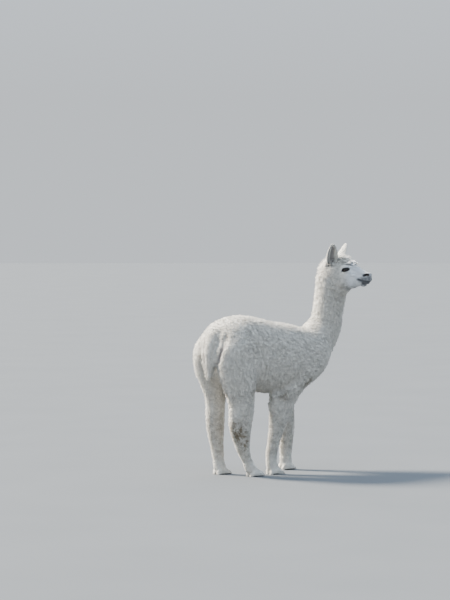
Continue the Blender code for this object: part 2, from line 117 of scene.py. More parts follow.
# Head skin, about the point midway between the eyes.
# Face: distance forward, height of the top, height of the underside, half width
FACE = (
    (-0.095, 0.040, -0.096, 0.058),
    (-0.060, 0.047, -0.108, 0.061),
    (-0.025, 0.046, -0.113, 0.0600),
    (0.005, 0.043, -0.115, 0.0565),
    (0.032, 0.0355, -0.112, 0.0500),
    (0.060, 0.0185, -0.102, 0.0410),
    (0.090, 0.0010, -0.094, 0.0335),
    (0.118, -0.0130, -0.088, 0.0290),
    (0.138, -0.0270, -0.078, 0.0225),
)
# Masses of bone, muscle and lip: forward, up, out to each side, and the three half sizes
HEAD_MASSES = {
    "cranium": (-0.068, 0.004, 0.000, 0.070, 0.060, 0.058),
    "nape": (-0.105, -0.035, 0.000, 0.055, 0.066, 0.070),
    "throat": (-0.066, -0.092, 0.000, 0.062, 0.052, 0.056),
    "jaw_muscle": (-0.034, -0.062, 0.034, 0.054, 0.027, 0.046),
    "cheekbone": (0.018, -0.031, 0.040, 0.044, 0.0130, 0.013),
    "brow": (-0.002, 0.0175, 0.0395, 0.036, 0.0140, 0.0120),
    "nose_wing": (0.127, -0.033, 0.0135, 0.021, 0.0125, 0.0155),
    "nose_front": (0.131, -0.049, 0.0060, 0.0190, 0.0130, 0.0180),
    "whisker_pad": (0.096, -0.056, 0.0195, 0.033, 0.0135, 0.021),
    "upper_lip": (0.122, -0.060, 0.0105, 0.0270, 0.0160, 0.0170),
    "lower_lip": (0.113, -0.0795, 0.000, 0.026, 0.0165, 0.0100),
    "chin": (0.094, -0.0865, 0.000, 0.026, 0.0175, 0.0140),
}
# Left side of the muzzle, forward, out and up
NOSTRIL = (
    (0.111, 0.0262, -0.0345),
    (0.119, 0.0252, -0.0308),
    (0.128, 0.0220, -0.0288),
    (0.136, 0.0165, -0.0302),
)
NOSTRIL_WING = (
    (0.102, 0.027, -0.0265),
    (0.117, 0.026, -0.0190),
    (0.133, 0.019, -0.0170),
    (0.147, 0.010, -0.0215),
)
MOUTH = (
    (0.078, 0.032, -0.0590),
    (0.095, 0.030, -0.0650),
    (0.115, 0.026, -0.0700),
    (0.132, 0.020, -0.0715),
    (0.146, 0.006, -0.0715),
)
MOUTH_CORNER = ((0.070, 0.033, -0.0540), (0.078, 0.033, -0.0590), (0.084, 0.033, -0.0650))
NOSE_BRIDGE = 0.007  # half width of the strip between the nostrils
LIP_CLEFT = ((0.152, 0, -0.034), (0.150, 0, -0.046), (0.146, 0, -0.058), (0.140, 0, -0.070))
TEAR_GROOVE = ((0.026, 0.045, -0.006), (0.042, 0.040, -0.018), (0.058, 0.036, -0.030))
NOSE_HOLLOW = ((0.060, 0.034, -0.036), (0.082, 0.031, -0.034), (0.100, 0.028, -0.030))
CHEEK_RIDGE = ((0.018, 0.050, -0.036), (0.046, 0.042, -0.038), (0.072, 0.036, -0.040))
# Paths that are raised or sunk on both sides of the face: the path, its half width, its height
FACE_STROKES = (
    (NOSTRIL_WING, 0.0050, 0.0013),
    (NOSTRIL, 0.0064, -0.0095),
    (MOUTH, 0.0032, -0.0030),
    (MOUTH_CORNER, 0.0040, -0.0014),
    (TEAR_GROOVE, 0.0055, -0.0018),
    (NOSE_HOLLOW, 0.0075, -0.0014),
    (CHEEK_RIDGE, 0.0070, 0.0012),
)
NECK_PART = -0.190  # height where the head's skin ends inside the neck's
NECK_SINK, NECK_SINK_HEIGHT = 0.12, 0.060  # how steeply it sinks in there, and from how far above
NECK_END = ((-0.106, -0.005, -0.040), (0.092, 0.088, 0.082))  # middle and half sizes of the nape's wool

# Eyelids: half length of the opening, its rise above and fall below the eye's middle
LID_HALF_LENGTH, LID_RISE, LID_FALL = 0.0205, 0.0115, 0.0095
LID_TILT = math.radians(13)  # the front corner is the higher one
LID_THICKNESS = 0.0034
RIM_POINTS, RIM_SIDES = 64, 8  # of the cord round the opening
LID_NARROWING = 0.22  # how much flatter the opening is towards its corners
# Folds round the opening: how far above and below it, from and to which angle in degrees from its
# front corner, the half width and the height
LID_FOLDS = (
    (0.0065, 0.006, 18, 165, 0.0030, -0.0016),
    (0.0105, 0.010, 25, 155, 0.0045, 0.0014),
    (0.0070, 0.006, 195, 335, 0.0030, -0.0011),
)
EYE_CORNER = ((-0.017, -0.003), (-0.024, -0.0050), (-0.030, -0.0062))  # dark streak behind the opening
GAZE = math.radians(11)  # each eye looks this far forward of straight sideways

# Left ear: base and tip, the way its hollow faces, and its crescent sections
EAR_BASE = Vector((-0.098, 0.042, 0.022))
EAR_TIP = Vector((-0.059, 0.107, 0.157))
EAR_FACES = Vector((0.50, 0.86, -0.10))
# Share of the way up, half width, cup depth, half angle of the crescent in degrees
EAR = (
    (0.00, 0.0200, 0.030, 118),
    (0.14, 0.0270, 0.029, 106),
    (0.32, 0.0320, 0.025, 96),
    (0.52, 0.0330, 0.020, 88),
    (0.70, 0.0290, 0.015, 82),
    (0.86, 0.0215, 0.010, 78),
    (0.95, 0.0150, 0.007, 76),
    (1.00, 0.0090, 0.005, 76),
)
EAR_THICKNESS = 0.0046

# Colours of the wool, the bare skin, the eyes, the claws and the lashes
CREAM = (0.92, 0.895, 0.835, 1)
WOOL_SHADE = (0.70, 0.665, 0.59, 1)
# Face hair: cleaner than the wool, and darker and bluer as painted shade
FACE_WHITE, FACE_SHADE = (0.84, 0.855, 0.875, 1), (0.70, 0.715, 0.735, 1)
# Brown of field dust on the legs, also used as painted shade under and beside the tail, at the elbows, the
# groin and between the thighs
DUST_AND_SHADE = (0.24, 0.19, 0.13, 1)
# Grey skin inside the ears, also used as painted shade in the folds beside the tail
EAR_SKIN_AND_FOLD_SHADE = (0.36, 0.335, 0.33, 1)
LIPS, LIPS_PALE = (0.060, 0.063, 0.071, 1), (0.125, 0.128, 0.138, 1)
# Near black of the lids' moist edges, also used as painted shade inside the nostrils and along the mouth line
LID_RIM_AND_NOSTRIL_SHADE = (0.022, 0.019, 0.019, 1)
PAD = (0.10, 0.085, 0.075, 1)
IRIS_DARK, IRIS_LIGHT = (0.004, 0.0025, 0.002, 1), (0.014, 0.008, 0.005, 1)
IRIS_RIM = (0.005, 0.004, 0.004, 1)
PUPIL, EYE_WHITE = (0.002, 0.002, 0.003, 1), (0.42, 0.36, 0.30, 1)
HORN_DARK, HORN_LIGHT = (0.16, 0.125, 0.10, 1), (0.36, 0.30, 0.24, 1)
HORN_WORN = (0.50, 0.44, 0.36, 1)
LASH_DARK, LASH_LIGHT = (0.012, 0.011, 0.010, 1), (0.040, 0.035, 0.032, 1)
SHEEN_TINT = (1.0, 0.98, 0.94, 1)

FAR = 9.0  # metres, further than anything on the animal
SEED = 20
CELL_KEYS = (73856093, 19349663, 83492791)  # large primes that number the cells of a grid
UNWRAP_PATCH = 0.003  # size of a tuft's patch on the skin's unwrap


# ---------------------------------------------------------------- mesh helpers
def link(name, data):
    made = bpy.data.objects.new(name, data)
    bpy.context.scene.collection.objects.link(made)
    return made


def evaluated(thing):
    bpy.context.view_layer.update()
    graph = bpy.context.evaluated_depsgraph_get()
    return bpy.data.meshes.new_from_object(thing.evaluated_get(graph))


def rows_of(items, label, width, kind=np.float32):
    """One property of every item, as rows of so many numbers."""
    flat = np.empty(len(items) * width, kind)
    items.foreach_get(label, flat)
    return flat.reshape(-1, width)


def points_of(mesh):
    return rows_of(mesh.vertices, "co", 3).astype(float)


def normals_of(mesh):
    return rows_of(mesh.vertex_normals, "vector", 3).astype(float)


def set_points(mesh, points):
    mesh.vertices.foreach_set("co", points.astype(np.float32).ravel())
    mesh.update()


def add_values(mesh, name, values):
    """A number for each vertex that the materials read by name."""
    layer = mesh.attributes.get(name) or mesh.attributes.new(name, "FLOAT", "POINT")
    layer.data.foreach_set("value", values.astype(np.float32))


def mesh_from(bm, name):
    """A bmesh written into a new mesh, and freed."""
    mesh = bpy.data.meshes.new(name)
    bm.to_mesh(mesh)
    bm.free()
    return mesh


def tree_of(places):
    """A search tree that gives the number of the nearest place."""
    tree = KDTree(len(places))
    for number, at in enumerate(places):
        tree.insert(at, number)
    tree.balance()
    return tree


def unit(vectors):
    return vectors / np.maximum(np.linalg.norm(vectors, axis=1, keepdims=True), 1e-9)


def smooth_step(values, start, end):
    """0 before start, 1 past end, and smooth between them. End may be below start."""
    t = np.clip((values - start) / (end - start), 0, 1)
    return t * t * (3 - 2 * t)


def smooth_box(values, low, high, soft):
    """1 between low and high, falling to 0 over a soft edge."""
    return smooth_step(values, low - soft, low + soft) * smooth_step(values, high + soft, high - soft)


def filled_in(stations, between=4):
    """The stations with a smooth run of sections between each two, by Catmull-Rom."""
    rows = np.array(stations, float)
    padded = np.vstack([2 * rows[0] - rows[1], rows, 2 * rows[-1] - rows[-2]])
    found = []
    for i in range(1, len(padded) - 2):
        before, start, end, after = padded[i - 1 : i + 3]
        for step in range(between):
            t = step / between
            bend = 2 * before - 5 * start + 4 * end - after
            swing = 3 * start - before - 3 * end + after
            found.append(0.5 * (2 * start + (end - before) * t + bend * t**2 + swing * t**3))
    return [*found, rows[-1]]


def closed(bm, name):
    """The mesh of a closed bmesh, its faces turned outward and cut into triangles."""
    bmesh.ops.recalc_face_normals(bm, faces=bm.faces)
    bmesh.ops.triangulate(bm, faces=bm.faces)
    return mesh_from(bm, name)


def loft(loops):
    """A closed mesh through loops of points, with a flat fan at each end."""
    bm = bmesh.new()
    rows = [[bm.verts.new(p) for p in loop] for loop in loops]
    for low, high in zip(rows, rows[1:]):
        for i in range(len(low)):
            j = (i + 1) % len(low)
            bm.faces.new((low[i], low[j], high[j], high[i]))
    for loop, row in ((loops[0], rows[0]), (loops[-1], rows[-1])):
        tip = bm.verts.new(sum(loop, Vector()) / len(loop))
        for i in range(len(row)):
            bm.faces.new((row[i], row[(i + 1) % len(row)], tip))
    return closed(bm, "loft")


def oval(centre, across, up, half_across, half_up, fullness=2.0, points=32):
    """A closed loop of points round a superellipse."""
    loop = []
    for i in range(points):
        angle = 2 * math.pi * i / points
        c, s = math.cos(angle), math.sin(angle)
        a = math.copysign(abs(c) ** (2 / fullness), c) * half_across
        b = math.copysign(abs(s) ** (2 / fullness), s) * half_up
        loop.append(centre + across * a + up * b)
    return loop


def ball(matrix, half_sizes, segments=40, rings=28):
    """An ellipsoid of the given half sizes in a matrix's place and directions."""
    bm = bmesh.new()
    bmesh.ops.create_uvsphere(bm, u_segments=segments, v_segments=rings, radius=1.0)
    bmesh.ops.transform(bm, matrix=matrix @ Matrix.Diagonal((*half_sizes, 1.0)), verts=bm.verts)
    return mesh_from(bm, "ball")


def joined(meshes):
    """Several meshes as one."""
    bm = bmesh.new()
    for mesh in meshes:
        bm.from_mesh(mesh)
    return mesh_from(bm, "joined")


def cut_off(bm, place, way):
    """Cut away what lies beyond a plane, and close the cut."""
    whole = [*bm.verts, *bm.edges, *bm.faces]
    bmesh.ops.bisect_plane(bm, geom=whole, plane_co=place, plane_no=way, clear_outer=True)
    bmesh.ops.holes_fill(bm, edges=[e for e in bm.edges if e.is_boundary], sides=0)


def fused(meshes, voxel, smoothing):
    """Closed forms that overlap, fused into one smooth surface."""
    whole = link("forms", joined(meshes))
    fuse = whole.modifiers.new("fuse", "REMESH")
    fuse.mode = "VOXEL"
    fuse.voxel_size = voxel
    blend = whole.modifiers.new("blend", "SMOOTH")
    blend.factor = 0.5
    blend.iterations = smoothing
    made = evaluated(whole)
    bpy.data.objects.remove(whole)
    return made


def combined(mesh, other, operation):
    """The Boolean of two closed meshes."""
    target, helper = link("target", mesh), link("helper", other)
    boolean = target.modifiers.new("boolean", "BOOLEAN")
    boolean.operation = operation
    boolean.solver = "MANIFOLD"
    boolean.object = helper
    made = evaluated(target)
    for used in (target, helper):
        bpy.data.objects.remove(used)
    return made


def blended(mesh, mask, rounds):
    """Even out the skin where mask is above 0."""
    points = points_of(mesh)
    start, end = rows_of(mesh.edges, "vertices", 2, np.int32).T
    count = np.bincount(start, minlength=len(points)) + np.bincount(end, minlength=len(points))
    for _ in range(rounds):
        total = np.zeros_like(points)
        np.add.at(total, start, points[end])
        np.add.at(total, end, points[start])
        mean = total / np.maximum(count, 1)[:, None]
        points += (mean - points) * (mask * 0.5)[:, None]
    set_points(mesh, points)


def along_path(points, path):
    """Distance of each point from a path, and how far along the path it comes, from 0 to 1."""
    best = np.full(len(points), FAR)
    share = np.zeros(len(points))
    steps = len(path) - 1
    for i in range(steps):
        start, end = np.array(path[i], float), np.array(path[i + 1], float)
        way = end - start
        t = np.clip((points - start) @ way / (way @ way), 0, 1)
        distance = np.linalg.norm(points - start - t[:, None] * way, axis=1)
        nearer = distance < best
        best = np.where(nearer, distance, best)
        share = np.where(nearer, (i + t) / steps, share)
    return best, share


def in_head(points):
    """Points as forward, left and up about the point midway between the eyes."""
    return (points - np.array(HEAD_ORIGIN)) @ np.array(HEAD.to_3x3())


def head_direction(ahead, left, up):
    return HEAD.to_3x3() @ Vector((ahead, left, up))


# ---------------------------------------------------------------- camera, light and floor
def towards(heading, lift):
    """The direction at a heading from +Y towards +X, and so far above level."""
    level = math.cos(lift)
    return Vector((math.sin(heading) * level, math.cos(heading) * level, math.sin(lift)))


def turn_to(thing, way):
    thing.rotation_mode = "QUATERNION"
    thing.rotation_quaternion = way.to_track_quat("-Z", "Y")


def make_camera():
    """At a standing person's eye height, behind the animal on its right."""
    data = bpy.data.cameras.new("camera")
    data.lens, data.sensor_width = LENS, SENSOR
    data.clip_end = 200
    camera = link("camera", data)
    camera.location = HEAD_ORIGIN + CAMERA_FROM_EYES
    turn_to(camera, towards(CAMERA_HEADING, -CAMERA_DIP))
    bpy.context.scene.camera = camera


def make_floor():
    bm = bmesh.new()
    bmesh.ops.create_circle(bm, cap_ends=True, segments=96, radius=FLOOR_RADIUS)
    floor = link("floor", mesh_from(bm, "floor"))
    floor.data.materials.append(floor_finish())


def make_sky():
    """A soft overhead light: brightest straight up, dimmer towards the floor's far edge."""
    world = bpy.data.worlds.new("studio")
    world.use_nodes = True
    nodes = Nodes(world.node_tree)
    up = nodes.add("SeparateXYZ", {"Vector": nodes.add("TexCoord").outputs["Generated"]}).outputs["Z"]
    background = world.node_tree.nodes["Background"]
    nodes.feed(background.inputs["Color"], nodes.mix(nodes.ranged(up, 0.05, 1.0), SKY_LOW, SKY_HIGH))
    background.inputs["Strength"].default_value = 1.0
    bpy.context.scene.world = world


def make_key_light():
    """A broad warm lamp, far away behind the animal and to its left."""
    data = bpy.data.lights.new("key_light", "SUN")
    data.energy, data.color = KEY_STRENGTH, KEY_COLOUR
    data.angle = math.radians(KEY_SPREAD)
    stands = towards(math.radians(KEY_HEADING), math.radians(KEY_HEIGHT))
    turn_to(link("key_light", data), -stands)


# ---------------------------------------------------------------- materials
def new_material(name):
    """A material, the helper for its nodes, and its shader."""
    made = bpy.data.materials.new(name)
    made.use_nodes = True
    return made, Nodes(made.node_tree), made.node_tree.nodes["Principled BSDF"]


class Nodes:
    """Short ways to add and link the nodes of one material or group."""

    def __init__(self, tree):
        self.tree = tree

    def add(self, kind, inputs=(), **settings):
        node = self.tree.nodes.new(f"ShaderNode{kind}")
        for key, value in settings.items():
            setattr(node, key, value)
        for key, value in dict(inputs).items():
            self.feed(node.inputs[key], value)
        return node

    def feed(self, socket, value):
        if isinstance(value, bpy.types.NodeSocket):
            self.tree.links.new(value, socket)
        else:
            socket.default_value = value

    def place(self):
        """Place on the object, in metres, the same for the skin and its coat."""
        return self.add("TexCoord").outputs["Object"]

    def value_of(self, name):
        return self.add("Attribute", attribute_name=name).outputs["Fac"]

    def noise(self, scale, detail=2.0, roughness=0.5, stretch=None):
        place = self.place()
        if stretch:
            place = self.add("Mapping", {"Vector": place, "Scale": stretch}).outputs[0]
        inputs = {"Vector": place, "Scale": scale, "Detail": detail, "Roughness": roughness}
        return self.add("TexNoise", inputs).outputs["Fac"]

    def ranged(self, value, low, high, to_low=0.0, to_high=1.0):
        inputs = {"Value": value, "From Min": low, "From Max": high, "To Min": to_low, "To Max": to_high}
        return self.add("MapRange", inputs).outputs["Result"]

    def maths(self, operation, first, second):
        node = self.add("Math", operation=operation)
        self.feed(node.inputs[0], first)
        self.feed(node.inputs[1], second)
        return node.outputs[0]

    def mix(self, factor, first, second, blend="MIX"):
        node = self.add("Mix", data_type="RGBA", blend_type=blend)
        self.feed(node.inputs["Factor"], factor)
        self.feed(node.inputs[6], first)
        self.feed(node.inputs[7], second)
        return node.outputs[2]


def new_group(name, inputs, outputs):
    """A node group with named inputs (kind, default) and outputs, its node helper and its two ends."""
    tree = bpy.data.node_groups.new(name, "ShaderNodeTree")
    for label, (kind, default) in inputs.items():
        socket = tree.interface.new_socket(label, in_out="INPUT", socket_type=f"NodeSocket{kind}")
        socket.default_value = default
    for label, kind in outputs.items():
        tree.interface.new_socket(label, in_out="OUTPUT", socket_type=f"NodeSocket{kind}")
    nodes = Nodes(tree)
    return nodes, tree.nodes.new("NodeGroupInput").outputs, tree.nodes.new("NodeGroupOutput").inputs


def wool_markings_and_shade_group():
    """Patches and staples of the coat, and its dusty brown: field soil, and painted shade under and beside
    the tail and in other folds; shared by the skin and every tuft.
    """
    inputs = {
        "Cream": ("Color", CREAM),
        "Shade": ("Color", WOOL_SHADE),
        "Dirt and shade colour": ("Color", DUST_AND_SHADE),
        "Dirt and shade": ("Float", 0.0),
        "Contrast": ("Float", 1.0),
    }
    nodes, given, out = new_group("wool_markings_and_shade", inputs, {"Colour": "Color"})
    patches = nodes.ranged(nodes.noise(7, 3), 0.35, 0.70)
    staples = nodes.ranged(nodes.noise(85, 3, 0.6), 0.38, 0.66)
    strands = nodes.ranged(nodes.noise(420, 2, 0.6), 0.35, 0.68)
    both = nodes.maths("ADD", nodes.maths("MULTIPLY", staples, 0.42), nodes.maths("MULTIPLY", strands, 0.34))
    amount = nodes.maths("ADD", both, nodes.maths("MULTIPLY", patches, 0.24))
    amount = nodes.maths("MULTIPLY", amount, given["Contrast"])
    clean = nodes.mix(amount, given["Cream"], given["Shade"])
    # Dusty brown: soil on the legs, and painted shade under and beside the tail, at the elbows, the groin and
    # between the thighs
    mottle = nodes.ranged(nodes.noise(38, 4, 0.65), 0.40, 0.62)
    crumbs = nodes.ranged(nodes.noise(150, 3, 0.7), 0.42, 0.64)
    dirt_and_shade = nodes.maths("ADD", nodes.maths("MULTIPLY", mottle, 0.65), nodes.maths("MULTIPLY", crumbs, 0.45))
    dirt_and_shade = nodes.maths("MULTIPLY", dirt_and_shade, given["Dirt and shade"])
    dirt_and_shade = nodes.ranged(dirt_and_shade, 0.06, 0.80)
    nodes.feed(out["Colour"], nodes.mix(dirt_and_shade, clean, given["Dirt and shade colour"]))
    return nodes.tree


def fine_hair_group():
    """Height of short hair that lies flat."""
    nodes, given, out = new_group("fine_hair", {"Fineness": ("Float", 900.0)}, {"Height": "Float"})
    hair = nodes.add("TexNoise", {"Vector": nodes.place(), "Scale": given["Fineness"], "Detail": 3.0})
    tuft = nodes.noise(260, 2)
    nodes.feed(out["Height"], nodes.mix(0.35, hair.outputs["Fac"], tuft))
    return nodes.tree


def markings(nodes, group, contrast):
    """The coat's colour from the wool markings and their painted shade, cleaner on the face and bluer there
    as painted shade.
    """
    found = nodes.add("Group", node_tree=group)
    face = nodes.value_of("face")
    nodes.feed(found.inputs["Cream"], nodes.mix(face, CREAM, FACE_WHITE))
    nodes.feed(found.inputs["Shade"], nodes.mix(face, WOOL_SHADE, FACE_SHADE))
    nodes.feed(found.inputs["Dirt and shade"], nodes.value_of("dust_and_shade"))
    found.inputs["Contrast"].default_value = contrast
    return found.outputs["Colour"]


def bumped(nodes, surface, height, strength, distance):
    bump = nodes.add("Bump", {"Height": height, "Strength": strength, "Distance": distance})
    nodes.feed(surface.inputs["Normal"], bump.outputs["Normal"])


def tinted(nodes, base):
    """Bare lips, lid edges and ear hollows over the coat's own colour, with painted shade inside the
    nostrils, along the mouth line, below the nostrils and in the folds beside the tail.
    """
    ear_skin_and_fold_shade = nodes.mix(nodes.value_of("ear_skin_and_fold_shade"), base, EAR_SKIN_AND_FOLD_SHADE)
    lips = nodes.mix(nodes.ranged(nodes.noise(170, 3), 0.35, 0.7), LIPS, LIPS_PALE)
    bare = nodes.mix(nodes.value_of("bare"), ear_skin_and_fold_shade, lips)
    pads = nodes.mix(nodes.value_of("pad"), bare, PAD)
    # Lid edges, and painted shade inside the nostrils and along the mouth line
    return nodes.mix(nodes.value_of("lid"), pads, LID_RIM_AND_NOSTRIL_SHADE)


def skin_finish(groups):
    made, nodes, surface = new_material("skin_and_underwool")
    base = markings(nodes, groups["wool"], 0.75)
    nodes.feed(surface.inputs["Base Color"], tinted(nodes, base))
    surface.inputs["Specular IOR Level"].default_value = 0.25
    lid = nodes.value_of("lid")
    gloss = nodes.maths("MAXIMUM", lid, nodes.maths("MULTIPLY", nodes.value_of("bare"), 0.6))
    nodes.feed(surface.inputs["Roughness"], nodes.ranged(gloss, 0.0, 1.0, 0.92, 0.32))
    hair = nodes.add("Group", node_tree=groups["hair"])
    bumped(nodes, surface, hair.outputs["Height"], 0.55, 0.0012)
    return made


def tuft_finish(groups, name, contrast, sheen):
    """Wool or hair: darker towards the root as painted shade and lighter towards the tips, with the soft
    sheen of fine fibre.
    """
    made, nodes, surface = new_material(name)
    base = markings(nodes, groups["wool"], contrast)
    # Painted shade: each tuft darkens towards its root, from 1.12 at the tip to 0.58 at the root, times its
    # lock's random tone
    tip = nodes.ranged(nodes.value_of("tip"), 0.0, 1.0, 0.58, 1.12)
    level = nodes.maths("MULTIPLY", tip, nodes.ranged(nodes.value_of("tone"), 0.0, 1.0, 0.78, 1.08))
    grey = nodes.add("CombineColor", {0: level, 1: level, 2: level}).outputs[0]
    shaded_to_root = nodes.mix(1.0, tinted(nodes, base), grey, "MULTIPLY")
    nodes.feed(surface.inputs["Base Color"], shaded_to_root)
    surface.inputs["Roughness"].default_value = 0.88
    surface.inputs["Specular IOR Level"].default_value = 0.20
    surface.inputs["Sheen Weight"].default_value = sheen
    surface.inputs["Sheen Roughness"].default_value = 0.45
    surface.inputs["Sheen Tint"].default_value = SHEEN_TINT
    return made


def eye_finish():
    """Nearly black brown iris with a level pupil under a wet clear surface."""
    made, nodes, surface = new_material("wet_eye")
    fibres = nodes.noise(420, 3, 0.6, stretch=(1.0, 1.0, 0.4))
    iris = nodes.mix(nodes.ranged(fibres, 0.35, 0.65), IRIS_DARK, IRIS_LIGHT)
    ringed = nodes.mix(nodes.value_of("rim"), iris, IRIS_RIM)
    dark = nodes.mix(nodes.value_of("pupil"), ringed, PUPIL)
    nodes.feed(surface.inputs["Base Color"], nodes.mix(nodes.value_of("white"), dark, EYE_WHITE))
    surface.inputs["Roughness"].default_value = 0.12
    surface.inputs["Specular IOR Level"].default_value = 0.20
    surface.inputs["Coat Weight"].default_value = 0.30
    surface.inputs["Coat Roughness"].default_value = 0.03
    bumped(nodes, surface, fibres, 0.08, 0.0004)
    return made


def horn_finish():
    """Grey-brown nail with growth rings and a worn, paler edge."""
    made, nodes, surface = new_material("nail_horn")
    rings = nodes.noise(150, 3, 0.5, stretch=(3.0, 0.6, 0.6))
    streaks = nodes.noise(260, 3, 0.6, stretch=(0.25, 1.6, 1.6))
    both = nodes.maths("MULTIPLY", nodes.maths("ADD", rings, streaks), 0.5)
    horn = nodes.mix(nodes.ranged(both, 0.38, 0.62), HORN_DARK, HORN_LIGHT)
    nodes.feed(surface.inputs["Base Color"], nodes.mix(nodes.value_of("worn"), horn, HORN_WORN))
    nodes.feed(surface.inputs["Roughness"], nodes.ranged(both, 0.3, 0.7, 0.38, 0.62))
    bumped(nodes, surface, both, 0.35, 0.0008)
    return made


def lash_finish():
    made, nodes, surface = new_material("lashes")
    streak = nodes.ranged(nodes.noise(300, 2), 0.35, 0.65)
    nodes.feed(surface.inputs["Base Color"], nodes.mix(streak, LASH_DARK, LASH_LIGHT))
    surface.inputs["Roughness"].default_value = 0.5
    return made


def floor_finish():
    made, nodes, surface = new_material("floor_paint")
    cloud = nodes.ranged(nodes.noise(1.3, 3), 0.3, 0.7)
    nodes.feed(surface.inputs["Base Color"], nodes.mix(cloud, FLOOR_DARK, FLOOR_LIGHT))
    surface.inputs["Roughness"].default_value = 0.9
    return made


# ---------------------------------------------------------------- skin of the body
def swollen_node(name, below=None):
    """A copy of a solid, grown a little so that it meets its neighbours, and cut off level if asked."""
    bm = bmesh.new()
    bm.from_mesh(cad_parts[name].data)
    bmesh.ops.remove_doubles(bm, verts=bm.verts, dist=1e-5)
    bm.normal_update()
    for vert, way in [(v, v.normal.copy()) for v in bm.verts]:
        vert.co += way * JOIN
    if below is not None:
        cut_off(bm, (0, 0, below), (0, 0, 1))
    return mesh_from(bm, name)


def on_tail(points):
    low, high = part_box("tail")
    near = (points[:, 0] < low.x + 0.075) & (points[:, 2] < high.z - 0.06)
    return near & (np.abs(points[:, 1] - middle_of("tail").y) < 0.07)


def coat_depth(points):
    """How deep the coat is at each place: from nothing at the soles to 25 mm on the trunk."""
    depth = np.interp(points[:, 2], COAT_HEIGHTS, COAT_DEPTHS)
    return np.where(on_tail(points), np.minimum(depth, TAIL_COAT), depth)


def pulled_in(mesh, extra=0.0):
    """The mesh moved inward by the coat's depth, by its own normals."""
    points = points_of(mesh)
    set_points(mesh, points - normals_of(mesh) * (coat_depth(points) + extra)[:, None])
    return mesh


def eased_at_neck(mesh):
    """Even out the meeting of neck and shoulders."""
    points = points_of(mesh)
    apart = np.abs((points - np.array(NECK_BASE)) @ np.array(NECK_BASE_UP.normalized()))
    mask = smooth_step(apart, *NECK_EASED) * smooth_step(points[:, 0], -0.10, 0.05)
    blended(mesh, mask, 90)
    return mesh


def creased(mesh):
    """Sink the folds of the coat: beside the tail, before the thighs and above the elbows."""
    points, ways = points_of(mesh), normals_of(mesh)
    for path, radius, depth, _ in FOLDS:
        distance, share = along_path(points, path)
        ends = np.clip(np.sin(np.pi * np.clip(share, 0.05, 0.95)) * 1.8, 0, 1)
        points -= ways * (np.exp(-((distance / radius) ** 2)) * depth * ends)[:, None]
    set_points(mesh, points)
    return mesh


def body_skin():
    """The coat's outline pulled in by its depth, with the neck's end rounded inside the head."""
    nape = ball(HEAD @ Matrix.Translation(NECK_END[0]), NECK_END[1])
    level = (HEAD @ Vector(NECK_END[0])).z
    forms = [swollen_node(n, below=level if n == "neck" else None) for n in FLESH]
    outside = creased(eased_at_neck(fused([*forms, nape], BODY_VOXEL, 5)))
    return fused([pulled_in(outside)], SKIN_VOXEL, 7)


def neck_part(body):
    """The top of the neck and back of the head, sinking a little towards its lower end."""
    bm = bmesh.new()
    bm.from_mesh(body)
    foot_of_part = HEAD @ Vector((0, 0, NECK_PART))
    cut_off(bm, foot_of_part, (0, 0, -1))
    bm.normal_update()
    for vert, way in [(v, v.normal.copy()) for v in bm.verts]:
        vert.co -= way * NECK_SINK * max(foot_of_part.z + NECK_SINK_HEIGHT - vert.co.z, 0)
    return mesh_from(bm, "neck_part")


def foot_skin(foot):
    """A foot with the end of its leg, which runs on up inside the leg's skin."""
    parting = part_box(foot)[1].z
    forms = [swollen_node(foot), swollen_node(foot.replace("foot", "leg"), below=parting + FOOT_OVERLAP)]
    outside = fused(forms, FOOT_VOXEL, 4)
    above = np.maximum(points_of(outside)[:, 2] - parting - 0.005, 0) * 0.4
    return pulled_in(outside, above)


# ---------------------------------------------------------------- skin of the head
def head_forms():
    """Closed forms of the head that overlap: face, masses, lids and neck stub."""
    across, up = head_direction(0, 1, 0), Vector((0, 0, 1))
    loops = []
    for ahead, top, bottom, half_width in filled_in(FACE):
        middle = HEAD @ Vector((ahead, 0, (top + bottom) / 2))
        loops.append(oval(middle, across, up, half_width, (top - bottom) / 2, 2.25))
    forms = [loft(loops)]
    for ahead, rise, out, *half_sizes in HEAD_MASSES.values():
        for side in (-1, 1) if out else (1,):
            forms.append(ball(HEAD @ Matrix.Translation((ahead, side * out, rise)), half_sizes))
    for side in EYE_AT:
        shell = (EYE_RADIUS + LID_THICKNESS,) * 3
        forms.append(ball(Matrix.Translation(EYE_AT[side]), shell))
    return forms


def ear_axes(side):
    """Base, tip and the unit vectors across, out of the cup, and along the ear."""
    sign = 1 if side == "left" else -1
    base, tip, faces = (Vector((v.x, sign * v.y, v.z)) for v in (EAR_BASE, EAR_TIP, EAR_FACES))
    along = (HEAD.to_3x3() @ (tip - base)).normalized()
    faces = HEAD.to_3x3() @ faces
    faces = (faces - along * faces.dot(along)).normalized()
    return HEAD @ base, HEAD @ tip, along.cross(faces), faces, along


def ear_form(side):
    """A cupped leaf: each section is a crescent, nearly closed to a tube at the base."""
    base, tip, across, faces, _ = ear_axes(side)
    loops = []
    for share, half_width, cup, opening in filled_in(EAR, 6):
        middle = base.lerp(tip, share) + faces * cup * 0.5
        turn = math.radians(opening)
        arc = [turn * (2 * i / 20 - 1) for i in range(21)]
        loop = []
        for wide, deep, angles in (
            (half_width, cup, arc),
            (half_width - EAR_THICKNESS * 0.7, cup - EAR_THICKNESS, arc[::-1]),
        ):
            for angle in angles:
                x = wide * math.sin(angle) / math.sin(min(turn, math.pi / 2))
                y = -deep * (math.cos(angle) - math.cos(turn)) / (1 - math.cos(turn))
                loop.append(middle + across * x + faces * y)
        loops.append(loop)
    return loft(loops)


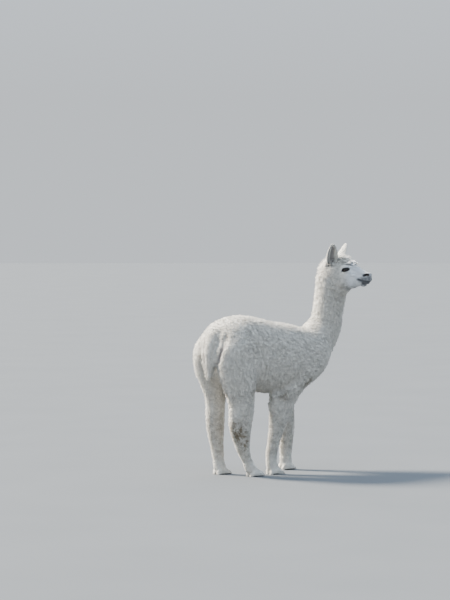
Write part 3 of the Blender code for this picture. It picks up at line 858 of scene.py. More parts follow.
def gaze_axes(side):
    """The way an eye looks, the way to its front corner, and the way up its opening."""
    sign = 1 if side == "left" else -1
    looks = head_direction(math.sin(GAZE), sign * math.cos(GAZE), 0.0)
    level = head_direction(math.cos(GAZE), -sign * math.sin(GAZE), 0.0)
    up = Vector((0, 0, 1))
    front = level * math.cos(LID_TILT) + up * math.sin(LID_TILT)
    rise = up * math.cos(LID_TILT) - level * math.sin(LID_TILT)
    return looks, front, rise


def lid_opening(grow=0.0, points=48):
    """The almond between the lids as (towards the front corner, up)."""
    found = []
    for i in range(points):
        angle = 2 * math.pi * i / points
        along = math.cos(angle)
        rise = math.sin(angle)
        peak = (LID_RISE if rise > 0 else LID_FALL) + grow
        found.append(((LID_HALF_LENGTH + grow) * along, peak * rise * (1 - LID_NARROWING * along**2)))
    return found


def lid_cutter(side):
    """The form that opens the lids: the almond, widening outward from inside the eye."""
    looks, front, rise = gaze_axes(side)
    loops = []
    for distance, grow in ((0.004, 0.0), (0.060, 0.004)):
        centre = EYE_AT[side] + looks * distance
        loops.append([centre + front * x + rise * y for x, y in lid_opening(grow)])
    return loft(loops)


def lid_rim(side):
    """The dark moist edge of the lids: a round cord that lies on the eyeball."""
    looks, front, rise = gaze_axes(side)
    middle = []
    for x, y in lid_opening(0.0004, RIM_POINTS):
        reach = EYE_RADIUS + 0.0010
        depth = math.sqrt(max(reach**2 - x * x - y * y, 1e-8))
        middle.append(EYE_AT[side] + front * x + rise * y + looks * depth)
    bm = bmesh.new()
    rows = []
    for i, at in enumerate(middle):
        along = (middle[(i + 1) % RIM_POINTS] - middle[i - 1]).normalized()
        out = (at - EYE_AT[side]).normalized()
        over = along.cross(out)
        ring = oval(at, out, over, 0.0016, 0.0017, points=RIM_SIDES)
        rows.append([bm.verts.new(p) for p in ring])
    for i in range(RIM_POINTS):
        low, high = rows[i], rows[(i + 1) % RIM_POINTS]
        for j in range(RIM_SIDES):
            k = (j + 1) % RIM_SIDES
            bm.faces.new((low[j], low[k], high[k], high[j]))
    return closed(bm, "lid_rim")


def stroke(points, ways, tree, path, radius, height):
    """Raise or sink the skin along a path, given in the head's own directions and laid on the skin."""
    laid = [tree.find(HEAD @ Vector(place))[0] for place in path]
    distance, share = along_path(points, laid)
    ends = np.clip(np.sin(np.pi * np.clip(share, 0.06, 0.94)) * 1.6, 0, 1)
    swell = np.exp(-((distance / radius) ** 2) * 1.6) * ends
    return points + ways * (swell * height)[:, None]


def lid_arc(side, rise, fall, start, end):
    """A path round the eye in the head's directions, between two angles from the front corner."""
    looks, front, up = gaze_axes(side)
    path = []
    for i in range(9):
        angle = math.radians(start + (end - start) * i / 8)
        x = (LID_HALF_LENGTH + rise) * math.cos(angle)
        y = (LID_RISE + rise if math.sin(angle) > 0 else LID_FALL + fall) * math.sin(angle)
        depth = math.sqrt(max((EYE_RADIUS + 0.004) ** 2 - x * x - y * y, 1e-6))
        at = EYE_AT[side] + front * x + up * y + looks * depth
        path.append(tuple(in_head(np.array([at]))[0]))
    return path


def sculpt_head(mesh):
    """Nostrils, mouth, lip cleft, tear grooves, cheek ridges and the folds of the lids."""
    points, ways = points_of(mesh), normals_of(mesh)
    tree = tree_of(points)
    for sign, side in ((1, "left"), (-1, "right")):
        for path, radius, height in FACE_STROKES:
            sided = [(ahead, sign * out, rise) for ahead, out, rise in path]
            points = stroke(points, ways, tree, sided, radius, height)
        for rise, fall, start, end, radius, height in LID_FOLDS:
            points = stroke(points, ways, tree, lid_arc(side, rise, fall, start, end), radius, height)
    points = stroke(points, ways, tree, LIP_CLEFT, 0.0034, -0.0038)
    set_points(mesh, points)


def head_skin(body):
    """The head with its ears, the face worked on, and the lids cut open."""
    bare = fused([*head_forms(), neck_part(body)], HEAD_VOXEL, 14)
    mesh = fused([bare, *(ear_form(side) for side in EYE_AT)], HEAD_VOXEL, 3)
    sculpt_head(mesh)
    for side in EYE_AT:
        mesh = combined(mesh, lid_cutter(side), "DIFFERENCE")
    return mesh


def whole_skin():
    """Body, feet and head as one skin, with the joins evened out, and the rims of the lids."""
    mesh = body_skin()
    head = head_skin(mesh)
    for foot in FEET:
        mesh = combined(mesh, foot_skin(foot), "UNION")
    mesh = combined(mesh, head, "UNION")
    points = points_of(mesh)
    local = in_head(points)
    throat = smooth_step(np.abs(local[:, 2] - NECK_PART - 0.03), 0.060, 0.030)
    throat *= local[:, 0] < -0.02
    ankle = smooth_step(np.abs(points[:, 2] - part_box(FEET[0])[1].z - 0.018), 0.044, 0.028)
    blended(mesh, np.maximum(throat, ankle), 16)
    points = points_of(mesh)
    points[:, 2] = np.maximum(points[:, 2], 0.0)
    set_points(mesh, points)
    return joined([mesh, *(lid_rim(side) for side in EYE_AT)])


# ---------------------------------------------------------------- fleece
# Ranges on the head are in metres along its own directions: forward, left and up
FACE_EDGE = 0.006  # how far forward the cheek wool comes
FRINGE = 0.020  # extra length of the fringe's locks
TOPKNOT = 0.026  # extra length on the crown
CROWN_LEAN = 1.1  # how much further the wool of the crown leans
# The ways the coat lies on the body, legs and feet, and how much it swirls
BODY_WAY, LEG_WAY, FOOT_WAY, SWIRL = (-0.65, 0.0, -0.80), (-0.12, 0.0, -1.0), (0.75, 0.0, -0.65), 0.22
FOLD_SHORTENING = 0.45  # share of its length that a tuft loses deep in a fold beside the tail

# Each part of the coat: spacing and half width of its tufts, shortest and longest, how far they
# lean, the size of the locks they gather in, how strongly they gather, and how ragged their tips are
COATS = {
    "trunk": (0.0031, 0.0016, 0.014, 0.050, 0.46, 0.0150, 0.90, 0.24),
    "neck": (0.0027, 0.0013, 0.012, 0.056, 0.50, 0.0145, 0.90, 0.24),
    "tail": (0.0031, 0.0016, 0.012, 0.044, 0.60, 0.0135, 0.85, 0.20),
    "leg": (0.0030, 0.0015, 0.007, 0.042, 0.50, 0.0165, 0.90, 0.30),
    "foot": (0.0026, 0.0011, 0.005, 0.017, 1.00, 0.0090, 0.45, 0.15),
    "wool": (0.0024, 0.0011, 0.005, 0.062, 0.52, 0.0125, 0.80, 0.20),
    "face": (0.0019, 0.00055, 0.0022, 0.009, 2.40, 0.0060, 0.20, 0.15),
    "ear": (0.0020, 0.0008, 0.005, 0.019, 0.75, 0.0070, 0.30, 0.18),
}


TRIES, CELL = 3.2, 1.16  # places tried for each that is wanted, and the grid's cells in spacings


def one_in_each_cell(places, size):
    """The numbers of the places that come first in each cell of a grid."""
    cell = np.floor(places / size).astype(np.int64)
    key = cell[:, 0] * CELL_KEYS[0] ^ cell[:, 1] * CELL_KEYS[1] ^ cell[:, 2] * CELL_KEYS[2]
    return np.unique(key, return_index=True)[1]


def scatter(points, corners, spacing, rng):
    """Evenly spread places on triangles: the triangle of each and the shares of its corners."""
    a, b, c = (points[corners[:, i]] for i in range(3))
    area = np.linalg.norm(np.cross(b - a, c - a), axis=1) / 2
    wanted = int(area.sum() / spacing**2 * TRIES)
    chosen = np.searchsorted(np.cumsum(area), rng.random(wanted) * area.sum())
    chosen = np.minimum(chosen, len(corners) - 1)
    first, second = np.sqrt(rng.random(wanted)), rng.random(wanted)
    shares = np.stack([1 - first, first * (1 - second), first * second], axis=1)
    places = (points[corners[chosen]] * shares[:, :, None]).sum(axis=1)
    kept = one_in_each_cell(places, spacing * CELL)
    return chosen[kept], shares[kept]


def scatter_middles(at, spacing, rng):
    """The tufts that stand in the middle of a lock, about one spacing apart."""
    order = rng.permutation(len(at))
    return order[one_in_each_cell(at[order], spacing)]


def distance_to_eyes(points):
    return np.min([np.linalg.norm(points - np.array(at), axis=1) for at in EYE_AT.values()], axis=0)


def crown_of(points):
    """1 on the top of the head, whose wool falls forward."""
    local = in_head(points)
    crown = smooth_step(local[:, 2], 0.005, 0.030) * smooth_step(local[:, 0], 0.060, 0.035)
    return crown * smooth_step(local[:, 0], -0.100, -0.070)


def flow_of(points, kind):
    """The way the coat lies, before it is laid on the skin."""
    local = in_head(points)
    if kind == "ear":
        along = {side: np.array(ear_axes(side)[4]) for side in EYE_AT}
        return np.where(local[:, 1:2] > 0, along["left"], along["right"])
    on_head = smooth_step(local[:, 0], -0.110, -0.020) * smooth_step(local[:, 2], -0.190, -0.080)
    crown = crown_of(points)
    on_head = np.maximum(on_head, crown)
    sideways = np.sign(local[:, 1])[:, None] * np.array(HEAD_LEFT)
    face = -np.array(HEAD_AHEAD) + np.array([0, 0, -0.35]) + sideways * 0.15
    fringe = np.array(HEAD_AHEAD) + sideways * 0.45 + np.array([0, 0, -0.30])
    head = face * (1 - crown)[:, None] + fringe * crown[:, None]
    leg = smooth_step(points[:, 2], 0.52, 0.40)[:, None]
    foot = smooth_step(points[:, 2], 0.075, 0.035)[:, None]
    body = np.array(BODY_WAY) * (1 - leg) + np.array(LEG_WAY) * leg
    body = body * (1 - foot) + np.array(FOOT_WAY) * foot
    swirl = np.sin(points[:, [1, 2, 0]] * 17 + np.array([0.0, 2.1, 4.2]))
    return unit(body * (1 - on_head)[:, None] + head * on_head[:, None] + swirl * SWIRL)


def fringe_of(points):
    """1 along the front of the topknot, whose locks stand out over the forehead."""
    local = in_head(points)
    return smooth_box(local[:, 0], -0.005, 0.050, 0.015) * smooth_step(local[:, 2], 0.015, 0.030)


def topknot_of(points):
    """1 on the crown, behind the ears and under the jaw, where the wool stands out fullest."""
    local = in_head(points)
    crown = smooth_step(local[:, 2], 0.038, 0.072) * smooth_step(local[:, 0], 0.048, -0.012)
    width = np.where(local[:, 0] < -0.072, 0.030, 0.034)
    crown *= smooth_step(np.abs(local[:, 1]), width + 0.022, width)
    behind = 0.25 * smooth_box(local[:, 2], -0.090, 0.060, 0.060) * smooth_step(local[:, 0], -0.090, -0.120)
    throat = smooth_box(local[:, 2], -0.230, -0.085, 0.030) * smooth_box(local[:, 0], -0.060, 0.040, 0.015)
    return np.max([crown, behind, throat * 0.75], axis=0)


def graded(points, kind):
    """Share of its length that each tuft has: cheek wool and face hair meet at one length."""
    local = in_head(points)
    near_eye = distance_to_eyes(points)
    if kind == "wool":
        behind = np.minimum(FACE_EDGE - local[:, 0], near_eye - EYE_RADIUS - 0.008)
        crown = smooth_step(local[:, 2], 0.016, 0.082)
        crown *= 0.45 + 0.55 * smooth_step(local[:, 0], 0.050, 0.020)
        behind = np.minimum(behind, 0.040 - 0.5 * smooth_step(local[:, 2], -0.080, -0.140) * 0.040)
        return np.maximum(0.30 + 0.70 * smooth_step(behind, -0.004, 0.040), crown)
    if kind == "face":
        cheek = 1.1 * smooth_step(local[:, 0], FACE_EDGE + 0.030, FACE_EDGE)
        return 1 + cheek * smooth_step(near_eye, 0.028, 0.040)
    return np.ones(len(points))


def samples_of(node):
    """Corners and face middles of a solid."""
    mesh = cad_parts[node].data
    return np.vstack([points_of(mesh), np.array([p.center for p in mesh.polygons])])


def part_of_coat(points):
    """The name of the nearest solid to each place."""
    samples = [samples_of(node) for node in SKINNED]
    owners = np.concatenate([np.full(len(found), number) for number, found in enumerate(samples)])
    tree = tree_of(np.vstack(samples))
    nearest = np.array([owners[tree.find(at)[1]] for at in points])
    return np.array(SKINNED)[nearest]


def coat_names(middles, ways):
    """Which part of the coat each triangle of the skin carries, and "" for bare skin."""
    nodes = part_of_coat(middles)
    local = in_head(middles)
    name = np.full(len(middles), "trunk", dtype="<U20")
    for part in ("neck", "tail", *LEGS):
        name[nodes == part] = part
    name[np.isin(nodes, FEET)] = "foot"
    head = nodes == "head"
    name[head] = "wool"
    ragged = 0.006 * np.sin(local[:, 2] * 330 + 2 * np.sin(local[:, 0] * 210)) * np.sin(local[:, 1] * 290 + 1)
    short = local[:, 0] + ragged > FACE_EDGE
    short &= (local[:, 2] < 0.028) | (local[:, 0] + ragged > 0.042)
    name[head & (short | (distance_to_eyes(middles) < EYE_RADIUS + 0.010))] = "face"
    name[(nodes == "ear_left") | (nodes == "ear_right")] = "ear"
    trunk = name == "trunk"
    rear, left = middles[:, 0] < middle_of("trunk").x, middles[:, 1] > middle_of("trunk").y
    for behind in (True, False):
        for to_left in (True, False):
            chosen = trunk & (rear == behind) & (left == to_left)
            name[chosen] = f"trunk_{'rear' if behind else 'front'}_{'left' if to_left else 'right'}"
    sole = (middles[:, 2] < 0.004) & (ways[:, 2] < -0.5)
    name[sole | (bareness(middles) > 0.75)] = ""
    return name


def from_mouth_and_nostrils(local):
    """Distances from the mouth line and from the nostrils, measured square to the side of the head."""
    flat = local[:, [0, 2]]
    mouth = along_path(flat, [(ahead, rise) for ahead, _, rise in MOUTH])[0]
    nostril = along_path(flat, [(ahead, rise) for ahead, _, rise in NOSTRIL])[0]
    return mouth, np.where(np.abs(local[:, 1]) > NOSE_BRIDGE, nostril, FAR)


def bareness(points):
    """1 on the bare skin of the lips and nostrils, and 0 where hair grows."""
    local = in_head(points)
    mouth, nostril = from_mouth_and_nostrils(local)
    chin = smooth_box(local[:, 0], 0.092, 0.170, 0.008) * smooth_box(local[:, 2], -0.093, -0.066, 0.004)
    lip = smooth_step(mouth, 0.0140, 0.0040)
    front = smooth_step(np.abs(local[:, 1]), 0.0120, 0.0040) * smooth_box(local[:, 2], -0.074, -0.030, 0.004)
    front *= smooth_step(local[:, 0], 0.128, 0.142) * 0.55
    return np.max([lip, smooth_step(nostril, 0.0135, 0.0050), chin, front], axis=0)


def muzzle_grey_and_shade(points):
    """1 on the grey lower front of the muzzle, where the skin shows through thin hair; the grey is partly
    painted shade, most of all between the nostrils and the mouth.
    """
    local = in_head(points)
    ripple = np.sin(local[:, 0] * 310 + 2 * np.sin(local[:, 2] * 240))
    blotches = 0.5 + 0.5 * ripple * np.sin(local[:, 2] * 350)
    edge = local[:, 2] + 0.10 * (local[:, 0] - 0.12) + (blotches - 0.5) * 0.006
    # Painted shade: between the nostrils and the mouth
    edge -= 0.45 * np.maximum(local[:, 0] - 0.110, 0)  # the grey reaches higher at the front
    grey = smooth_step(local[:, 0], 0.078, 0.104) * smooth_box(edge, -0.096, -0.046, 0.010)
    return grey * (0.62 + 0.30 * blotches)


def nostril_and_mouth_shade(points):
    """Painted shade: 1 inside the nostrils and along the line between the lips."""
    local = in_head(points)
    mouth, nostril = from_mouth_and_nostrils(local)
    wide = 0.0078 + 0.0040 * smooth_step(local[:, 0], 0.108, 0.126)
    return np.maximum(smooth_step(nostril / wide, 1.0, 0.5), smooth_step(mouth, 0.0024, 0.0008) * 0.5)


def lid_darkness(points):
    """1 on the moist edges of the eyelids."""
    found = np.zeros(len(points))
    for side, at in EYE_AT.items():
        looks, front, rise = (np.array(v) for v in gaze_axes(side))
        away = points - np.array(at)
        x, y = away @ front, away @ rise
        peak = np.where(y > 0, LID_RISE, LID_FALL)
        size = np.sqrt((x / LID_HALF_LENGTH) ** 2 + (y / peak) ** 2)
        near = (np.linalg.norm(away, axis=1) < EYE_RADIUS + 0.012) & (away @ looks > 0)
        found = np.maximum(found, np.where(near, smooth_step(size, 1.44, 1.20), 0))
        corner = smooth_step(along_path(np.stack([x, y], axis=1), EYE_CORNER)[0], 0.0046, 0.0010)
        found = np.maximum(found, np.where(away @ looks > -0.01, corner * 0.75, 0))
    return found


def ear_hollowness(points, ways):
    """1 inside the cups of the ears."""
    found = np.zeros(len(points))
    stations = np.array(EAR)
    for side in EYE_AT:
        base, tip, across, faces, along = (np.array(v) for v in ear_axes(side))
        away = points - base
        share = away @ along / np.linalg.norm(tip - base)
        half_width = np.interp(share, stations[:, 0], stations[:, 1])
        cup = np.interp(share, stations[:, 0], stations[:, 2])
        inside = smooth_step(np.abs(away @ across) / half_width, 0.54, 0.28)
        inside *= smooth_box(share, 0.06, 0.88, 0.06) * (ways @ faces > 0.05)
        inside *= (away @ faces < cup * 0.62) & (away @ faces > -cup)
        found = np.maximum(found, inside)
    return found


def face_hair_and_blue_shade(points):
    """1 on the short clean hair of the face and ears, 0 on the wool; the face colours it brings are darker
    and bluer as painted shade.
    """
    local = in_head(points)
    return smooth_step(local[:, 0], -0.020, 0.030) * smooth_step(local[:, 2], -0.200, -0.150)


def dustiness_and_shade(points):
    """Dusty brown: soil on the lower legs, hocks and knee, and painted shade at the elbows, the groin,
    between the thighs and under and beside the tail; also a band under the belly and a little on the neck.
    """
    height = points[:, 2]
    legs = smooth_step(height, 0.46, 0.30) * smooth_step(height, 0.03, 0.16) * 0.50
    belly = smooth_step(height, BELLY + 0.06, BELLY) * smooth_step(height, 0.40, 0.46) * 0.30
    found = np.maximum(legs, belly)
    near_hock, far_hock = middle_of("leg_hind_right"), middle_of("leg_hind_left")
    near_knee, elbow = middle_of("leg_front_right"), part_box("leg_front_right")[1]
    (tail_low, tail_high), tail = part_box("tail"), middle_of("tail")
    # The middle of each spot, its radius and how much brown it holds
    spots = (
        # Soil on the hocks and the near knee
        ((near_hock.x - 0.01, near_hock.y, 0.270), 0.130, 1.20),
        ((near_hock.x + 0.03, near_hock.y - 0.02, 0.200), 0.085, 1.00),
        ((far_hock.x - 0.03, far_hock.y, 0.25), 0.120, 0.60),
        ((near_knee.x + 0.02, near_knee.y - 0.05, 0.285), 0.085, 1.10),
        # Painted shade from here on: elbow, groin, between the thighs, behind the elbow, the tail's shadow on
        # the left haunch, under the tail
        ((elbow.x - 0.12, -0.14, BELLY + 0.05), 0.090, 0.85),
        ((-0.265, -0.130, 0.505), 0.045, 1.00),  # front of the right thigh
        ((-0.440, -0.050, 0.500), 0.060, 0.75),  # between the thighs
        ((-0.020, -0.105, 0.480), 0.075, 0.80),  # belly behind the elbow
        ((tail_low.x + 0.03, tail_high.y + 0.015, tail_low.z + 0.17), 0.060, 0.55),
        ((tail_low.x + 0.06, tail.y, tail_low.z + 0.01), 0.085, 0.50),
        ((near_hock.x + 0.09, -0.11, BELLY + 0.02), 0.060, 0.70),
    )
    for centre, radius, amount in spots:
        distance = np.linalg.norm(points - np.array(centre), axis=1)
        found = np.maximum(found, amount * smooth_step(distance, radius, radius * 0.25))
    # Painted shade in the folds, strongest beside the tail
    for path, radius, _, amount in FOLDS:
        distance, share = along_path(points, path)
        amount = amount * smooth_step(share, 0.0, 0.16)
        found = np.maximum(found, amount * smooth_step(distance, radius * 1.3, radius * 0.4))
    local = in_head(points)
    throat = smooth_box(local[:, 2], -0.200, -0.090, 0.04) * smooth_step(local[:, 0], -0.170, -0.080) * 0.22
    return np.maximum(found, throat)


def fold_shade(points):
    """Painted shade: 1 deep in the folds beside the tail, where hardly any light comes in."""
    found = np.zeros(len(points))
    for path, radius, _, amount in SHADED_FOLDS:
        distance, share = along_path(points, path)
        amount = amount * smooth_step(share, 0.0, 0.28)
        found = np.maximum(found, amount * smooth_step(distance, radius * 2.0, radius * 0.6))
    return found


def marks_of(points, ways):
    """What the materials read at each place: dusty brown with painted shade, bare lips and the grey muzzle
    with painted shade below the nostrils, lid edges with painted shade in the nostrils and mouth line, face
    hair with its painted blue shade, ear hollows with painted shade in the folds beside the tail, and foot
    pads.
    """
    outer = points + ways * coat_depth(points)[:, None]
    return {
        "dust_and_shade": dustiness_and_shade(outer),
        # bare lips, and the grey muzzle, which is partly painted shade
        "bare": np.maximum(bareness(points), muzzle_grey_and_shade(points)),
        # lid edges, and painted shade inside the nostrils and along the mouth line
        "lid": np.maximum(lid_darkness(points), nostril_and_mouth_shade(points)),
        # face hair, with its painted blue shade
        "face": face_hair_and_blue_shade(points),
        # ear hollows, and painted shade deep in the folds beside the tail
        "ear_skin_and_fold_shade": np.maximum(ear_hollowness(points, ways), fold_shade(outer)),
        "pad": smooth_step(points[:, 2], 0.010, 0.004) * smooth_step(-ways[:, 2], 0.1, 0.5),
    }


UNDERWOOL = 0.38  # share of the tufts that are short and thick
SHORTER, THICKER = 0.76, 1.75  # how much so
STRAY, CURL = 0.20, 0.20  # how much tufts differ in heading, and how far their bellies bend aside
SLANT = 1.7  # the most that leaning may add to a tuft's way out of the coat
ROOT_DEPTH = 0.0012  # how far a tuft's root stands in the skin
FLOOR_GAP = 0.0004  # tufts keep this far above the floor
# Corners of a tuft's six faces: 0 in the skin, 1 to 3 where it bends, 4 at the tip
SPINDLE = np.array([(0, 2, 1), (0, 3, 2), (0, 1, 3), (1, 2, 4), (2, 3, 4), (3, 1, 4)])


class Fleece:
    """Grows tufts on the skin, out to the coat's outline."""

    def __init__(self, skin, outside):
        self.points, self.ways = points_of(skin), normals_of(skin)
        skin.calc_loop_triangles()
        self.corners = rows_of(skin.loop_triangles, "vertices", 3, np.int32)
        loops = rows_of(skin.loop_triangles, "loops", 3, np.int32)
        self.unwrapped = rows_of(skin.uv_layers["OFBake"].data, "uv", 2)[loops]
        middles = self.points[self.corners].mean(axis=1)
        ways = unit(self.ways[self.corners].mean(axis=1))
        self.names = coat_names(middles, ways)
        faces = [tuple(p.vertices) for p in outside.polygons]
        self.outline = BVHTree.FromPolygons([tuple(p) for p in points_of(outside)], faces)

    def roots(self, name, spacing, rng):
        chosen = np.flatnonzero(self.names == name)
        corners = self.corners[chosen]
        triangle, shares = scatter(self.points, corners, spacing, rng)
        at = (self.points[corners[triangle]] * shares[:, :, None]).sum(axis=1)
        way = unit((self.ways[corners[triangle]] * shares[:, :, None]).sum(axis=1))
        unwrapped = (self.unwrapped[chosen][triangle] * shares[:, :, None]).sum(axis=1)
        return at, way, unwrapped

    def reach(self, at, heading, shortest, longest):
        """How far each tuft runs before it comes out of the coat's outline."""
        found = np.empty(len(at))
        for i, (place, way) in enumerate(zip(at, heading)):
            hit = self.outline.ray_cast(Vector(place), Vector(way), longest)
            found[i] = hit[3] if hit[0] is not None else shortest
        return np.clip(found, shortest, longest)

    def grow(self, name):
        kind = name.split("_")[0]
        spacing, half_width, shortest, longest, lean, lock, gather, ragged = COATS[kind]
        rng = np.random.default_rng(SEED + sum(map(ord, name)))
        at, way, unwrapped = self.roots(name, spacing, rng)
        count = len(at)
        flow = flow_of(at, kind)
        lean = lean * (1 + CROWN_LEAN * crown_of(at))[:, None]
        flow -= way * (flow * way).sum(axis=1, keepdims=True)
        flow /= np.maximum(np.linalg.norm(flow, axis=1, keepdims=True), 0.35)
        stray = rng.normal(0, STRAY, (count, 3))
        heading = unit(way + flow * lean + stray)
        straight = self.reach(at, way, shortest, longest)
        length = np.minimum(self.reach(at, heading, shortest, longest), straight * SLANT + 0.003)
        length *= (0.98 + 0.16 * rng.random(count)) * graded(at, kind)
        length *= 1 - FOLD_SHORTENING * fold_shade(at + way * coat_depth(at)[:, None])

        # Locks: the tips of a lock's tufts draw together, and those at its edge are shorter
        middles = scatter_middles(at, lock, rng)
        tree = tree_of(at[middles])
        owner = np.array([middles[tree.find(place)[1]] for place in at])
        apart = np.linalg.norm(at - at[owner], axis=1) / lock
        length *= 1 - ragged * (rng.random(count) + 1.6 * np.clip(apart * 1.3, 0, 1) ** 2)
        under = rng.random(count) < UNDERWOOL
        length = np.where(under, length * SHORTER, length)
        half_width = np.where(under, half_width * THICKER, half_width)
        tone = rng.random(count)[owner]
        if kind in ("wool", "neck"):
            fringe = fringe_of(at) * FRINGE * (0.25 + 1.3 * tone)
            length += fringe + topknot_of(at) * TOPKNOT * (0.75 + 0.35 * tone)
        tips = at + heading * length[:, None]
        goal = at[owner] + heading[owner] * length[owner][:, None]
        draw = (goal - tips) * gather
        far = np.maximum(np.linalg.norm(draw, axis=1, keepdims=True), 1e-6)
        tips += draw * np.minimum(1, length[:, None] * 0.30 / far)

        # The belly of each tuft stands up more than its tip, with a little curl
        curl = np.cross(way, flow) * rng.normal(0, CURL, (count, 1)) * length[:, None]
        bend = at + unit(way * 1.25 + flow * lean * 0.55) * (length * 0.52)[:, None] + curl
        return tufts(name, at, way, bend, tips, unwrapped, half_width, tone, rng)


def spindle_patch():
    """The map of one tuft about its root: its lower faces in one half, its upper faces in the other."""
    spots = []
    for half, top in ((-1, 0), (1, 4)):
        for face in SPINDLE[:3] if half < 0 else SPINDLE[3:]:
            for corner in face:
                turn = 2 * math.pi * (corner - 1) / 3
                out = 0 if corner == top else UNWRAP_PATCH / 4
                spots.append((half * UNWRAP_PATCH / 4 + out * math.cos(turn), out * math.sin(turn)))
    return np.array(spots)


def tufts(name, at, way, bend, tips, unwrapped, half_width, tone, rng):
    """One mesh of spindles: a point in the skin, three corners where the tuft bends, and a tip."""
    count = len(at)
    along = unit(tips - at)
    side = unit(np.cross(along, rng.normal(0, 1, (count, 3))))
    over = np.cross(along, side)
    size = (half_width * (0.75 + 0.5 * rng.random(count)))[:, None]
    corners, shade = np.empty((count, 5, 3)), np.empty((count, 5, 3))
    corners[:, 0], shade[:, 0] = at - way * ROOT_DEPTH, way
    corners[:, 4], shade[:, 4] = tips, way * 0.85 + along * 0.40
    for i in range(3):
        turn = 2 * math.pi * i / 3
        out = side * math.cos(turn) + over * math.sin(turn)
        corners[:, 1 + i] = bend + out * size
        shade[:, 1 + i] = out * 0.42 + way * 0.85
    corners[:, :, 2] = np.maximum(corners[:, :, 2], FLOOR_GAP)
    faces = (SPINDLE[None] + 5 * np.arange(count)[:, None, None]).reshape(-1, 3)
    mesh = bpy.data.meshes.new(f"coat_{name}")
    mesh.vertices.add(count * 5)
    mesh.vertices.foreach_set("co", corners.astype(np.float32).ravel())
    mesh.loops.add(len(faces) * 3)
    mesh.loops.foreach_set("vertex_index", faces.astype(np.int32).ravel())
    mesh.polygons.add(len(faces))
    mesh.polygons.foreach_set("loop_start", np.arange(0, len(faces) * 3, 3, dtype=np.int32))
    mesh.update(calc_edges=True)
    spots = (unwrapped[:, None] + spindle_patch()[None]).astype(np.float32)
    mesh.uv_layers.new(name="OFBake").data.foreach_set("uv", spots.ravel())
    mesh.shade_smooth()
    mesh.normals_split_custom_set_from_vertices(unit(shade.reshape(-1, 3)).tolist())
    # share of the way out along each tuft, from which the material paints shade towards the root
    add_values(mesh, "tip", np.tile([0, 0.5, 0.5, 0.5, 1], count))
    add_values(mesh, "tone", np.repeat(tone, 5))
    for mark, values in marks_of(at, way).items():
        add_values(mesh, mark, np.repeat(values, 5))
    return mesh


def unwrap(thing):
    """Unwrap a skin by its own shape, into a map named OFBake."""
    thing.data.uv_layers.new(name="OFBake")
    bpy.ops.object.select_all(action="DESELECT")
    thing.select_set(True)
    bpy.context.view_layer.objects.active = thing
    bpy.ops.object.mode_set(mode="EDIT")
    bpy.ops.mesh.select_all(action="SELECT")
    bpy.ops.uv.smart_project(angle_limit=math.radians(66), island_margin=0.002)
    bpy.ops.object.mode_set(mode="OBJECT")


# ---------------------------------------------------------------- eyes, lashes and claws
IRIS_EDGE, CORNEA_EDGE = math.radians(44), math.radians(50)  # from the way the eye looks
PUPIL_HALF_LENGTH, PUPIL_HALF_HEIGHT = 0.0080, 0.0038
CORNEA_BULGE = 0.0010
LASHES = 26  # on each upper lid
LASH_LENGTH, LASH_RADIUS = 0.0135, 0.00042


def make_eye(side, finish):
    """An eyeball with a bulging cornea, marked with its pupil, iris edge and white."""
    looks, front, rise = gaze_axes(side)
    turned = Matrix((front, rise, looks)).transposed().to_4x4()
    turned.translation = EYE_AT[side]
    mesh = ball(turned, (EYE_RADIUS,) * 3, 72, 48)
    points = points_of(mesh)
    away = points - np.array(EYE_AT[side])
    angle = np.arccos(np.clip(away @ np.array(looks) / EYE_RADIUS, -1, 1))
    bulge = CORNEA_BULGE * smooth_step(angle, CORNEA_EDGE, 0)
    set_points(mesh, points + unit(away) * bulge[:, None])
    x, y = away @ np.array(front), away @ np.array(rise)
    size = np.sqrt((x / PUPIL_HALF_LENGTH) ** 2 + (y / PUPIL_HALF_HEIGHT) ** 2)
    add_values(mesh, "pupil", smooth_step(size, 1.10, 0.85) * (angle < 1.2))
    add_values(mesh, "rim", smooth_step(angle, IRIS_EDGE * 0.80, IRIS_EDGE))
    add_values(mesh, "white", smooth_step(angle, 1.05, 1.25))
    mesh.shade_smooth()
    mesh.materials.append(finish)
    eye = link(f"eyeball_{side}", mesh)
    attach(eye, "root")
    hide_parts(f"eye_{side}")


def curved_spike(start, heading, droop, length, radius, steps=4, sides=5):
    """A tapering hair that bends towards droop."""
    loops = []
    for i in range(steps):
        share = i / (steps - 1)
        at = start + heading * length * share + droop * length * share**2
        size = radius * (1 - share) + 0.00008
        across = heading.cross(droop).normalized()
        loops.append(oval(at, across, across.cross(heading), size, size, points=sides))
    return loft(loops)


def make_lashes(side, finish):
    """Lashes along the upper lid that stand out and droop."""
    looks, front, rise = gaze_axes(side)
    rng = np.random.default_rng(SEED + len(side))
    hairs = []
    for i in range(LASHES):
        angle = math.radians(24 + 132 * i / (LASHES - 1) + rng.normal(0, 1.5))
        x = LID_HALF_LENGTH * math.cos(angle)
        y = (LID_RISE + 0.0010) * math.sin(angle) * (1 - LID_NARROWING * math.cos(angle) ** 2)
        depth = math.sqrt((EYE_RADIUS + 0.0012) ** 2 - x * x - y * y)
        start = EYE_AT[side] + front * x + rise * y + looks * depth
        heading = (looks * 0.95 + front * 0.45 * math.cos(angle) + rise * 0.10).normalized()
        droop = rise * -0.55 + front * 0.10
        length = LASH_LENGTH * (0.75 + 0.25 * math.sin(angle)) * rng.uniform(0.85, 1.1)
        hairs.append(curved_spike(start, heading, droop, length, LASH_RADIUS))
    mesh = joined(hairs)
    mesh.shade_smooth()
    mesh.materials.append(finish)
    lashes = link(f"lashes_{side}", mesh)
    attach(lashes, "root")
    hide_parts("head")


# Share of a nail's length from its root, and its size there
NAIL_SHAPE = ((0.0, 1.0), (0.30, 0.99), (0.58, 0.90), (0.82, 0.68), (0.96, 0.40), (1.0, 0.22))


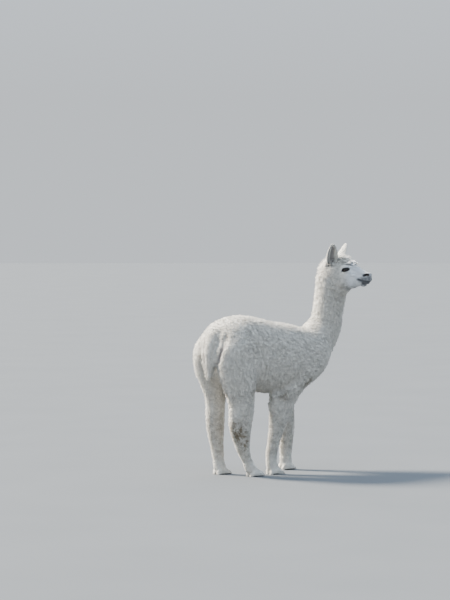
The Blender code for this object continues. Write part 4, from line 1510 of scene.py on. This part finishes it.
def make_claw(node, finish):
    """A hooked, ridged nail in the place of its solid, with its tip worn."""
    low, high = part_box(node)
    loops = []
    for share, size in filled_in(NAIL_SHAPE, 5):
        height = (high.z - low.z) * size * (1 - 0.30 * share)
        hook = 0.0016 * math.sin(math.pi * share)
        at = Vector((low.x + (high.x - low.x) * share, (low.y + high.y) / 2, low.z + height / 2 + hook))
        half_width = (high.y - low.y) / 2 * size
        loops.append(oval(at, Vector((0, 1, 0)), Vector((0, 0, 1)), half_width, height / 2, 2.5, 24))
    mesh = loft(loops)
    points = points_of(mesh)
    ridge = np.sin((points[:, 0] - low.x) * 1500) * 0.00018 * (points[:, 2] > low.z + 0.003)
    points += normals_of(mesh) * ridge[:, None]
    points[:, 2] = np.maximum(points[:, 2], low.z)
    set_points(mesh, points)
    add_values(mesh, "worn", smooth_step(points[:, 0], high.x - 0.005, high.x))
    mesh.shade_smooth()
    mesh.materials.append(finish)
    claw = link(node.replace("nail", "claw"), mesh)
    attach(claw, "root")
    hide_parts(node)


# ---------------------------------------------------------------- putting it together
COVERED = {"neck": ["neck"], "tail": ["tail"], "foot": FEET, "wool": ["head"], "face": ["head"]}
COVERED |= {"ear": ["ear_left", "ear_right"], "trunk": ["trunk"]}


def make_skin(finish):
    skin = link("skin", whole_skin())
    skin.data.shade_smooth()
    skin.data.materials.append(finish)
    for mark, values in marks_of(points_of(skin.data), normals_of(skin.data)).items():
        add_values(skin.data, mark, values)
    unwrap(skin)
    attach(skin, "root")
    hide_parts(*FLESH, *FEET, "head", "ear_left", "ear_right")
    return skin


def make_coat(skin, finishes):
    """One piece of coat for each part of the body, grown out to the outline of the solids."""
    outline = creased(eased_at_neck(fused([swollen_node(n) for n in SKINNED], COAT_VOXEL, 2)))
    fleece = Fleece(skin.data, outline)
    for name in sorted(set(fleece.names) - {""}):
        kind = name.split("_")[0]
        short = kind in ("face", "ear", "foot")
        mesh = fleece.grow(name)
        mesh.materials.append(finishes["hair" if short else "wool"])
        coat = link(mesh.name, mesh)
        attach(coat, "root")
        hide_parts(*COVERED.get(kind, [name]))


groups = {"wool": wool_markings_and_shade_group(), "hair": fine_hair_group()}
make_camera()
make_floor()
make_key_light()
make_sky()
skin = make_skin(skin_finish(groups))
finishes = {
    "wool": tuft_finish(groups, "fleece_wool", contrast=1.0, sheen=0.55),
    "hair": tuft_finish(groups, "short_hair", contrast=0.7, sheen=0.30),
}
make_coat(skin, finishes)
wet, lash, horn = eye_finish(), lash_finish(), horn_finish()
for side in EYE_AT:
    make_eye(side, wet)
    make_lashes(side, lash)
for node in NAILS:
    make_claw(node, horn)
